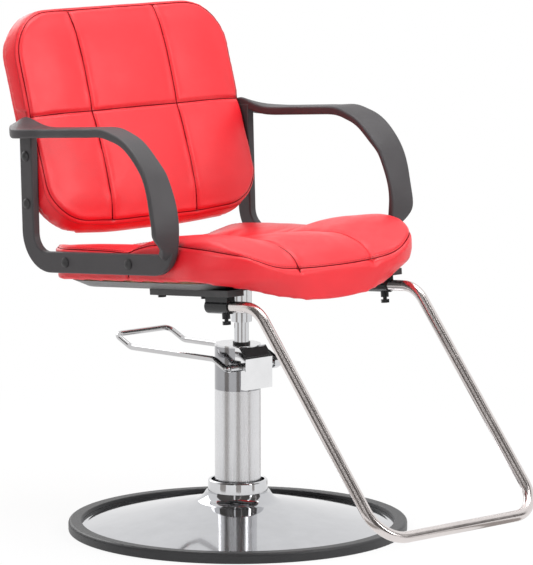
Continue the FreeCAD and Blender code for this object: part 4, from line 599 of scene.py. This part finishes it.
def relax(mesh, rounds, free):
    """Smooths a mesh where it is free to move."""
    edges = np.empty(len(mesh.edges) * 2, int)
    mesh.edges.foreach_get("vertices", edges)
    edges = edges.reshape(-1, 2)
    points = coordinates(mesh)
    count = np.zeros(len(points))
    np.add.at(count, edges.ravel(), 1)
    for _ in range(rounds):
        total = np.zeros_like(points)
        np.add.at(total, edges[:, 0], points[edges[:, 1]])
        np.add.at(total, edges[:, 1], points[edges[:, 0]])
        points += (total / count[:, None] - points) * (0.5 * free)[:, None]
    set_coordinates(mesh, points)


def carve(mesh, lines, depth, width, pucker):
    """Sinks a mesh along seams, with small puckers beside them."""
    away, index = near_lines(mesh, lines)
    numbers = range(int(index.max()) + 1)
    ripple = np.array([noise.noise(Vector((number * 0.11, 0.5, 0.3))) for number in numbers])
    sink = depth * hump(away, 0, width)
    sink += pucker * ripple[index] * hump(away, width, 2.2 * width)
    set_coordinates(mesh, coordinates(mesh) - normals(mesh) * sink[:, None])


def uneven(mesh, amount, size):
    """The slight unevenness of a stuffed cover."""
    points = coordinates(mesh)
    shift = np.array([noise.noise(Vector(point) / size) for point in points]) * amount
    set_coordinates(mesh, points + normals(mesh) * shift[:, None])


def ramp(values, low, high):
    """Rises smoothly from 0 to 1 between two limits."""
    share = np.clip((np.asarray(values, float) - low) / (high - low), 0, 1)
    return share * share * (3 - 2 * share)


def hump(values, middle, reach):
    """A smooth peak of 1 at a middle, which falls away on both sides of it."""
    return np.exp(-((np.asarray(values, float) - middle) / reach) ** 2)


def sewn(mesh, groups):
    """Carves groups of seams in a cover and lays thread in them.

    Each group has its thread's name, lines and whether they are closed, the seam's depth, width and
    puckers, and the thread's material and radius.
    """
    tree = surface_tree(mesh)
    threads = []
    for name, lines, closed, depth, width, pucker, material, radius in groups:
        lines = [smoothed(on_surface(tree, line), 3, closed) for line in lines]
        sunk = [on_surface(tree, line, -THREAD_SHARE * depth) for line in lines]
        threads.append((name, [(smoothed(line, 3, closed), closed) for line in sunk], material, radius))
        carve(mesh, lines, depth, width, pucker)
    for name, paths, material, radius in threads:
        new_piece(name, sweep(paths, radius, 6), material)


def topstitch(name, tree, path):
    """A row of short stitches round a closed path on a surface."""
    share = STITCH_LENGTH / STITCH_PITCH
    spots = resampled(path, STITCH_PITCH, True)
    stitches = []
    for start, end in zip(spots, np.roll(spots, -1, 0)):
        run = [start + (end - start) * part for part in ((1 - share) / 2, 0.5, (1 + share) / 2)]
        run = on_surface(tree, run, STITCH_LIFT)
        run[0] -= (run[1] - run[0]) * 0.02
        first, last = on_surface(tree, [run[0], run[2]], -0.3 * STITCH_LIFT)
        stitch = np.array([first, (run[0] + run[1]) / 2, (run[1] + run[2]) / 2, last])
        stitches.append((stitch, False))
    new_piece(name, sweep(stitches, STITCH_RADIUS, 5), RED_THREAD)


# Seat cover

# Plans are half the width, the low and the high end, and the radii of the corners at these ends.
SEAT_REAR = 0.246
SEAT_PLAN = (0.238, -0.248, SEAT_REAR, 0.124, 0.06)
SEAT_CHANNEL = 0.084
SEAT_CROSS, SEAT_CROSS_HALF = 0.020, 0.232
ROLL_MIDDLE = -0.15
ARM_SIDE = 0.2429
ROW_INSET, ROW_RISE = 0.0035, 0.002

# The height of the front's border over the seat's frame, by the distance from the middle.
BORDER_ACROSS = (0, 0.050, 0.100, 0.128, 0.154, 0.175, 0.195, 0.211, 0.227, 0.236, 0.240)
BORDER_HEIGHT = (0.028, 0.029, 0.033, 0.036, 0.041, 0.049, 0.058, 0.063, 0.070, 0.074, 0.075)


def shape_seat(mesh):
    """The dip behind the thigh roll, the dished rear and the full front corners."""
    points = local(SEAT, coordinates(mesh))
    ways = local_normals(SEAT, mesh)
    along, up = points[:, 1], points[:, 2]
    side = np.abs(points[:, 0])
    top = ramp(up, 0.022, 0.045) * ramp(ways[:, 2], 0.1, 0.6)
    dip = 0.008 * hump(along, SEAT_CROSS + 0.034, 0.030) * (1 - ramp(side, 0.15, 0.225))
    dished = 0.008 * hump(side, 0.125, 0.050) * ramp(along, 0.09, 0.20)
    lowered = top * (dip + dished)
    corner = ramp(side, 0.10, 0.19) * ramp(-along, 0.09, 0.17) * hump(up, 0.030, 0.040)
    wall = 1 - ramp(np.abs(ways[:, 2]), 0.5, 0.9)
    points += level(ways) * (0.0065 * corner * wall)[:, None]
    foot = ramp(-up, -0.012, 0.012) * ramp(-along, 0.19, 0.23) * (1 - ramp(side, 0.12, 0.19))
    points[:, 2] -= lowered + 0.004 * foot
    set_coordinates(mesh, world(SEAT, points))


def over_roll(across):
    """Rays towards the middle of the front roll, from above it round to its front."""
    rays = []
    for turn in np.arange(88, 12, -3):
        angle = math.radians(turn)
        out = Vector((0, -math.cos(angle), math.sin(angle)))
        rays.append((Vector((across, ROLL_MIDDLE, 0)) + out * 0.3, -out))
    return rays


def seat_lines(tree):
    """The seat's border, its lengthwise seams, the one across and that one's ends down the sides."""
    rim = []
    for across, along, _ in rounded_plan(*SEAT_PLAN):
        inset = 1 - 0.007 / math.hypot(across, along)
        hit = meets(tree, SEAT, (across * inset, along * inset, RAY_HEIGHT), DOWN)
        up = 0.06 if hit is None else (SEAT.inverted() @ hit).z - 0.002
        front = float(ramp(-along, 0.06, 0.15))
        drawn = float(np.interp(abs(across), BORDER_ACROSS, BORDER_HEIGHT))
        rim.append((across, along, up + (drawn - up) * front))
    rim = on_surface(tree, world(SEAT, smoothed(rim, 12, True)))
    rim = on_surface(tree, smoothed(rim, 4, True))
    channels = []
    for across in (-SEAT_CHANNEL, SEAT_CHANNEL):
        stops = np.arange(SEAT_REAR - PLAN_STEP, ROLL_MIDDLE, -PLAN_STEP)
        down = straight_down([(across, stop) for stop in stops])
        channels.append(seam(tree, SEAT, down + over_roll(across)))
    stops = np.arange(-SEAT_CROSS_HALF, SEAT_CROSS_HALF + 0.0001, PLAN_STEP)
    cross = seam(tree, SEAT, straight_down([(stop, SEAT_CROSS) for stop in stops]))
    drops = []
    for side in (-1, 1):
        stops = np.arange(0.066, 0.018, -PLAN_STEP)
        rays = [((side * 0.3, SEAT_CROSS, up), (-side, 0, 0)) for up in stops]
        drops.append(resampled(laid(tree, SEAT, rays), LINE_STEP))
    return rim, channels, cross, drops


def off_arms(mesh):
    """Keeps the seat's cover off the arms' plates, and free in front of them."""
    points = local(SEAT, coordinates(mesh))
    limit = ARM_SIDE + 0.006 * ramp(-points[:, 1], 0.130, 0.160)
    points[:, 0] = np.clip(points[:, 0], -limit, limit)
    set_coordinates(mesh, world(SEAT, points))


def make_seat():
    cover = fine_copy("seat_cushion", "seat_cushion_cover")
    mesh = cover.data
    shape_seat(mesh)
    rim, channels, cross, drops = seat_lines(surface_tree(mesh))
    held = held_by(mesh, [rim, *channels, cross, *drops])
    facing_down = local_normals(SEAT, mesh)[:, 2] < -0.35
    underside = facing_down & (local(SEAT, coordinates(mesh))[:, 2] < 0.02)
    held[facing_itself(mesh) | underside] = 1
    stuff(cover, held)
    mesh = applied(cover, "SUBSURF", levels=1, render_levels=1)
    spots = local(SEAT, coordinates(mesh))
    relax(mesh, 16, (1 - ramp(spots[:, 2], 0.020, 0.034)) * ramp(-spots[:, 1], 0.10, 0.14))
    uneven(mesh, 0.0006, 0.055)
    sewn(mesh, [
        ("seat_border_seam", [rim], True, 0.0026, 0.0036, 0.0007, SEAM_SHADE, 0.0008),
        ("seat_seams", [channels[0], *drops], False, 0.0034, 0.0036, 0.0010, SEAM_SHADE, 0.0008),
        ("seat_soft_seams", [channels[1], cross], False, 0.0030, 0.0090, 0.0006, RED, 0.0004),
    ])
    off_arms(mesh)
    tree = surface_tree(mesh)
    row = local(SEAT, rim)
    row += level(row.mean(0) - row) * ROW_INSET + np.array([0, 0, ROW_RISE])
    topstitch("seat_topstitch", tree, smoothed(on_surface(tree, world(SEAT, row)), 6, True))
    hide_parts("seat_cushion")


# Back covers

BACK_HALF, BACK_FOOT, BACK_TOP = 0.241, -0.203, 0.179
BACK_PLAN = (BACK_HALF, BACK_FOOT, BACK_TOP, 0.076, 0.084)
BACK_CROSS = -0.006
BACK_SEAM_END = 0.003
CROWN_VALLEY = 0.096
BACK_UPRIGHTS = (-0.1065, 0.0890)
PADDLE_SIDE, POST_SIDE = 0.2427, 0.2475

# The rear panel's top and foot: which way, how far off, their corners' radius and the share drawn in.
PANEL_HALF = 0.241
PANEL_ENDS = ((1, 0.180, 0.084, 0.098), (-1, 0.214, 0.078, 0.076))
PANEL_SEAM_PLAN = (0.212, -0.178, 0.152, 0.06, 0.06)
PIPING_PLAN = (0.2385, -0.2095, 0.1765, 0.076, 0.080)
PIPING_LEVEL, PIPING_RADIUS = -0.0365, 0.0040


def foot_rise(across, along):
    """How far the back's foot is lifted, most at its corners."""
    return 0.006 * ramp(-along, 0.10, 0.20) * ramp(np.abs(across), 0.06, 0.21)


def shape_back(mesh, plump):
    """Fuller side walls, a foot that rises to its corners, and valleys moved to the seams."""
    points = local(BACK, coordinates(mesh))
    ways = local_normals(BACK, mesh)
    across = points[:, 0].copy()
    wall = 1 - ramp(np.abs(ways[:, 2]), 0.45, 0.85)
    points += level(ways) * (plump * wall)[:, None]
    for valley, upright in zip((-CROWN_VALLEY, CROWN_VALLEY), BACK_UPRIGHTS):
        points[:, 0] += (upright - valley) * hump(across, valley, 0.055)
    points[:, 1] += foot_rise(across, points[:, 1])
    set_coordinates(mesh, world(BACK, points))


def back_lines(tree):
    """The front's border, its two upright seams and the one across."""
    rim = []
    for across, along, _ in rounded_plan(*BACK_PLAN):
        inset = 1 - 0.006 / math.hypot(across, along)
        along += float(foot_rise(across, along))
        hit = meets(tree, BACK, (across * inset, along * inset, RAY_HEIGHT), DOWN)
        forward = -0.006 if hit is None else (BACK.inverted() @ hit).z
        rim.append((across, along, forward - 0.001))
    rim = on_surface(tree, world(BACK, smoothed(rim, 12, True)))
    stops = np.arange(BACK_FOOT + BACK_SEAM_END, BACK_TOP, PLAN_STEP)
    uprights = [seam(tree, BACK, straight_down([(across, stop) for stop in stops]))
                for across in BACK_UPRIGHTS]
    stops = np.arange(-BACK_HALF + BACK_SEAM_END, BACK_HALF, PLAN_STEP)
    cross = seam(tree, BACK, straight_down([(stop, BACK_CROSS) for stop in stops]))
    return rim, uprights, cross


def arm_room(mesh):
    """Draws a cover in where the arms' posts and paddles press on its sides."""
    points = coordinates(mesh)
    spots = local(SEAT, points)
    near = (spots[:, 1] > 0.172) & (spots[:, 1] < 0.307) & (spots[:, 2] < 0.305)
    limit = np.where(near, PADDLE_SIDE, POST_SIDE)
    points[:, 0] = np.clip(points[:, 0], -limit, limit)
    set_coordinates(mesh, points)


def draw_corners(mesh):
    """Draws the rear panel's corners in to the cushion's outline."""
    points = local(BACK, coordinates(mesh))
    for way, end, radius, draw in PANEL_ENDS:
        across = np.abs(points[:, 0]) - (PANEL_HALF - radius)
        along = way * points[:, 1] - (end - radius)
        corner = (across > 0) & (along > 0)
        less = draw * np.sin(2 * np.arctan2(along[corner], across[corner])) ** 2
        points[corner, 0] -= np.sign(points[corner, 0]) * across[corner] * less
        points[corner, 1] -= way * along[corner] * less
    set_coordinates(mesh, world(BACK, points))


def make_back():
    cover = fine_copy("back_cushion", "back_cushion_cover")
    mesh = cover.data
    pockets = facing_itself(mesh)
    shape_back(mesh, 0.002)
    rim, uprights, cross = back_lines(surface_tree(mesh))
    held = held_by(mesh, [rim, *uprights, cross])
    held[pockets | (local_normals(BACK, mesh)[:, 2] < -0.4)] = 1
    stuff(cover, held)
    arm_room(mesh)
    mesh = applied(cover, "SUBSURF", levels=1, render_levels=1)
    uneven(mesh, 0.0006, 0.06)
    lower = local(BACK, rim) + np.array([0, 0, -0.007])
    lower[:, :2] *= 1.02
    sewn(mesh, [
        ("back_border_seam", [rim], True, 0.0024, 0.0036, 0.0007, SEAM_SHADE, 0.0007),
        ("back_seams", [*uprights, cross], False, 0.0036, 0.0036, 0.0011, SEAM_SHADE, 0.0007),
        ("back_side_seam", [world(BACK, lower)], True, 0.0008, 0.0030, 0.0002, RED_THREAD, 0.0005),
    ])
    arm_room(mesh)
    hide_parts("back_cushion")


def make_rear():
    cover = fine_copy("back_panel", "back_panel_cover")
    mesh = cover.data
    pockets = facing_itself(mesh)
    shape_back(mesh, -0.0015)
    draw_corners(mesh)
    relax(mesh, 3, np.where(pockets | (local_normals(BACK, mesh)[:, 2] > 0.3), 0.0, 1.0))
    mesh = applied(cover, "SUBSURF", levels=1, render_levels=1)
    rays = [((across, along, -0.3), UP) for across, along, _ in rounded_plan(*PANEL_SEAM_PLAN)]
    border = smoothed(laid(surface_tree(mesh), BACK, rays), 4, True)
    uneven(mesh, 0.0006, 0.07)
    sewn(mesh, [("back_panel_seam", [border], True, 0.0022, 0.004, 0.0008, SEAM_SHADE, 0.0007)])
    arm_room(mesh)
    cord = smoothed(rounded_plan(*PIPING_PLAN), 3, True)
    cord[:, 1] += foot_rise(cord[:, 0], cord[:, 1])
    cord[:, 2] = PIPING_LEVEL
    new_piece("back_piping", sweep([(world(BACK, cord), True)], PIPING_RADIUS, 10), RED)
    tree = surface_tree(mesh)
    row = local(BACK, border)
    row[:, :2] *= 0.982
    topstitch("back_panel_topstitch", tree, on_surface(tree, world(BACK, row)))
    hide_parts("back_panel")


make_seat()
make_back()
make_rear()


# The plunger's return spring, which shortens by a little more than the plunger's whole stroke, gets a mesh
# of its own.

spring = NODES["plunger_spring"]
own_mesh(spring)


# Stage

FLOOR_REACH, FLOOR_LEVEL = 30, -0.0005
FLOOR_WHITE, FLOOR_GLOW = 0.9, 0.9
FLOOR_NEAR, FLOOR_FAR = 0.45, 1.5
CARD_TINT = (1.0, 0.94, 0.90, 1)
SCREEN_REACH, SCREEN_FOOT = 3.4, 3
SCREEN_COLUMNS, SCREEN_ROWS = 12, 8
CARD_NEAR, CARD_FAR, CARD_LEVEL = 0.42, 3.2, 0.0004
AMBIENT = 0.36


def bare_tree(block, kind):
    """Clears the nodes of a material or a world and gives it an output of its kind."""
    block.use_nodes = True
    tree = block.node_tree
    tree.nodes.clear()
    return tree, tree.nodes.new(kind).inputs["Surface"]


def combined(tree, operation, first, second):
    node = tree.nodes.new("ShaderNodeMath")
    node.operation = operation
    link(tree, first, node.inputs[0])
    link(tree, second, node.inputs[1])
    return node.outputs[0]


def mixed(tree, factor, first, second):
    node = tree.nodes.new("ShaderNodeMixShader")
    link(tree, factor, node.inputs["Fac"])
    link(tree, first, node.inputs[1])
    link(tree, second, node.inputs[2])
    return node.outputs[0]


def to_camera_or_gloss(tree, rays):
    """A value that is 1 for what the camera or a gloss sees."""
    return combined(tree, "MAXIMUM", rays.outputs["Is Camera Ray"], rays.outputs["Is Glossy Ray"])


def floor_material(name):
    """Lit white, with a share of plain white for the camera and in gloss that is all of it farther out."""
    material = bpy.data.materials.new(name)
    tree, surface = bare_tree(material, "ShaderNodeOutputMaterial")
    lit = tree.nodes.new("ShaderNodeBsdfDiffuse")
    lit.inputs["Color"].default_value = (FLOOR_WHITE, FLOOR_WHITE, FLOOR_WHITE, 1)
    glow = tree.nodes.new("ShaderNodeEmission")
    glow.inputs["Strength"].default_value = 1.0
    seen = to_camera_or_gloss(tree, tree.nodes.new("ShaderNodeLightPath"))
    place = tree.nodes.new("ShaderNodeTexCoord")
    reach = tree.nodes.new("ShaderNodeVectorMath")
    reach.operation = "LENGTH"
    link(tree, place.outputs["Object"], reach.inputs[0])
    part = spread(tree, reach.outputs["Value"], FLOOR_GLOW, 1, FLOOR_NEAR, FLOOR_FAR)
    share = combined(tree, "MULTIPLY", seen, part)
    link(tree, mixed(tree, share, lit.outputs[0], glow.outputs[0]), surface)
    return material


def dim_material(name, strength):
    """An even dim glow for cards that stand for the dark side of a studio."""
    material = bpy.data.materials.new(name)
    tree, surface = bare_tree(material, "ShaderNodeOutputMaterial")
    glow = tree.nodes.new("ShaderNodeEmission")
    glow.inputs["Color"].default_value = CARD_TINT
    glow.inputs["Strength"].default_value = strength
    link(tree, glow.outputs[0], surface)
    return material


def stage_piece(name, corners, faces, material):
    mesh = bpy.data.meshes.new(name)
    mesh.from_pydata(corners, [], faces)
    piece = bpy.data.objects.new(name, mesh)
    bpy.context.collection.objects.link(piece)
    mesh.materials.append(material)
    return piece


def only_in_gloss(piece):
    piece.visible_camera = False
    piece.visible_diffuse = False
    piece.visible_shadow = False
    piece.visible_transmission = False


def round_screen(name, low_turn, high_turn, top):
    """Part of a sphere round the chair between two turns and up to a height, seen only in shiny surfaces."""
    corners = []
    faces = []
    for row in range(SCREEN_ROWS + 1):
        rise = math.radians(SCREEN_FOOT + (top - SCREEN_FOOT) * row / SCREEN_ROWS)
        out, up = SCREEN_REACH * math.cos(rise), SCREEN_REACH * math.sin(rise)
        for column in range(SCREEN_COLUMNS + 1):
            turn = math.radians(low_turn + (high_turn - low_turn) * column / SCREEN_COLUMNS)
            corners.append((out * math.sin(turn), -out * math.cos(turn), up))
    for row in range(SCREEN_ROWS):
        for column in range(SCREEN_COLUMNS):
            first = row * (SCREEN_COLUMNS + 1) + column
            above = first + SCREEN_COLUMNS + 1
            faces.append((first, first + 1, above + 1, above))
    only_in_gloss(stage_piece(name, corners, faces, DARK))


def floor_card(name, low_turn, high_turn):
    """A dim wedge on the floor that only shiny metal sees."""
    corners = []
    for turn, reaches in ((low_turn, (CARD_NEAR, CARD_FAR)), (high_turn, (CARD_FAR, CARD_NEAR))):
        angle = math.radians(turn)
        corners += [(reach * math.sin(angle), -reach * math.cos(angle), CARD_LEVEL) for reach in reaches]
    only_in_gloss(stage_piece(name, corners, [(0, 1, 2, 3)], GREY))


def softbox(name, place, aim, size, power):
    lamp = bpy.data.lights.new(name, "AREA")
    lamp.shape = "RECTANGLE"
    lamp.size, lamp.size_y = size
    lamp.energy = power
    piece = bpy.data.objects.new(name, lamp)
    bpy.context.collection.objects.link(piece)
    piece.location = place
    piece.rotation_euler = (Vector(aim) - Vector(place)).to_track_quat("-Z", "Y").to_euler()


def background(tree, strength):
    node = tree.nodes.new("ShaderNodeBackground")
    node.inputs["Color"].default_value = (1, 1, 1, 1)
    node.inputs["Strength"].default_value = strength
    return node.outputs[0]


stage_piece("floor", [(across * FLOOR_REACH, along * FLOOR_REACH, FLOOR_LEVEL)
                      for across, along in ((-1, -1), (1, -1), (1, 1), (-1, 1))],
            [(0, 1, 2, 3)], floor_material("floor_white"))
DARK = dim_material("dark_screen", 0.11)
GREY = dim_material("grey_card", 0.40)
round_screen("dark_screen_left", -128, -58, 84)
round_screen("dark_screen_middle", -52, 8, 84)
round_screen("dark_screen_right", 16, 50, 70)
for number, turns in enumerate(((-110, -86), (-48, -30), (12, 22), (100, 112))):
    floor_card(f"floor_card_{number + 1}", *turns)

softbox("overhead", (0.2, -0.4, 3.3), (0, 0, 0.6), (2.6, 2.6), 82)
softbox("key", (1.4, -3.4, 2.2), (0, 0, 0.7), (1.8, 1.8), 66)
softbox("fill", (-3.3, -0.8, 2.3), (0, 0, 0.7), (1.4, 1.6), 42)
softbox("behind", (0.4, 2.8, 1.8), (0, 0, 0.7), (2.0, 1.4), 26)

# The world lights the chair dimly, and the camera, gloss and glass see it plain white.
world_light = bpy.data.worlds.new("studio")
bpy.context.scene.world = world_light
tree, surface = bare_tree(world_light, "ShaderNodeOutputWorld")
rays = tree.nodes.new("ShaderNodeLightPath")
seen = combined(tree, "MAXIMUM", to_camera_or_gloss(tree, rays), rays.outputs["Is Transmission Ray"])
link(tree, mixed(tree, seen, background(tree, AMBIENT), background(tree, 1.0)), surface)


# Camera

TURN = math.radians(42.1717)
RISE = math.radians(8.4563)
DISTANCE = 7.34266
AIM = Vector((0.06727, 0, 0.42635))
FOCAL_PIXELS = 4224.69
IMAGE_HEIGHT = 565
SENSOR = 36.0
SIGHT = 100

away = Vector((-math.sin(TURN) * math.cos(RISE), -math.cos(TURN) * math.cos(RISE), math.sin(RISE)))
right = Vector((math.cos(TURN), -math.sin(TURN), 0))
upward = away.cross(right)
lens = bpy.data.cameras.new("camera")

# The picture is higher than it is wide, so the sensor spans its height.
lens.sensor_width = SENSOR
lens.lens = FOCAL_PIXELS * SENSOR / IMAGE_HEIGHT
lens.clip_end = SIGHT
camera = bpy.data.objects.new("camera", lens)
bpy.context.collection.objects.link(camera)
camera.matrix_world = Matrix((
    (right.x, upward.x, away.x, AIM.x + away.x * DISTANCE),
    (right.y, upward.y, away.y, AIM.y + away.y * DISTANCE),
    (right.z, upward.z, away.z, AIM.z + away.z * DISTANCE),
    (0, 0, 0, 1),
))
bpy.context.scene.camera = camera
bpy.context.scene.view_settings.view_transform = "Standard"
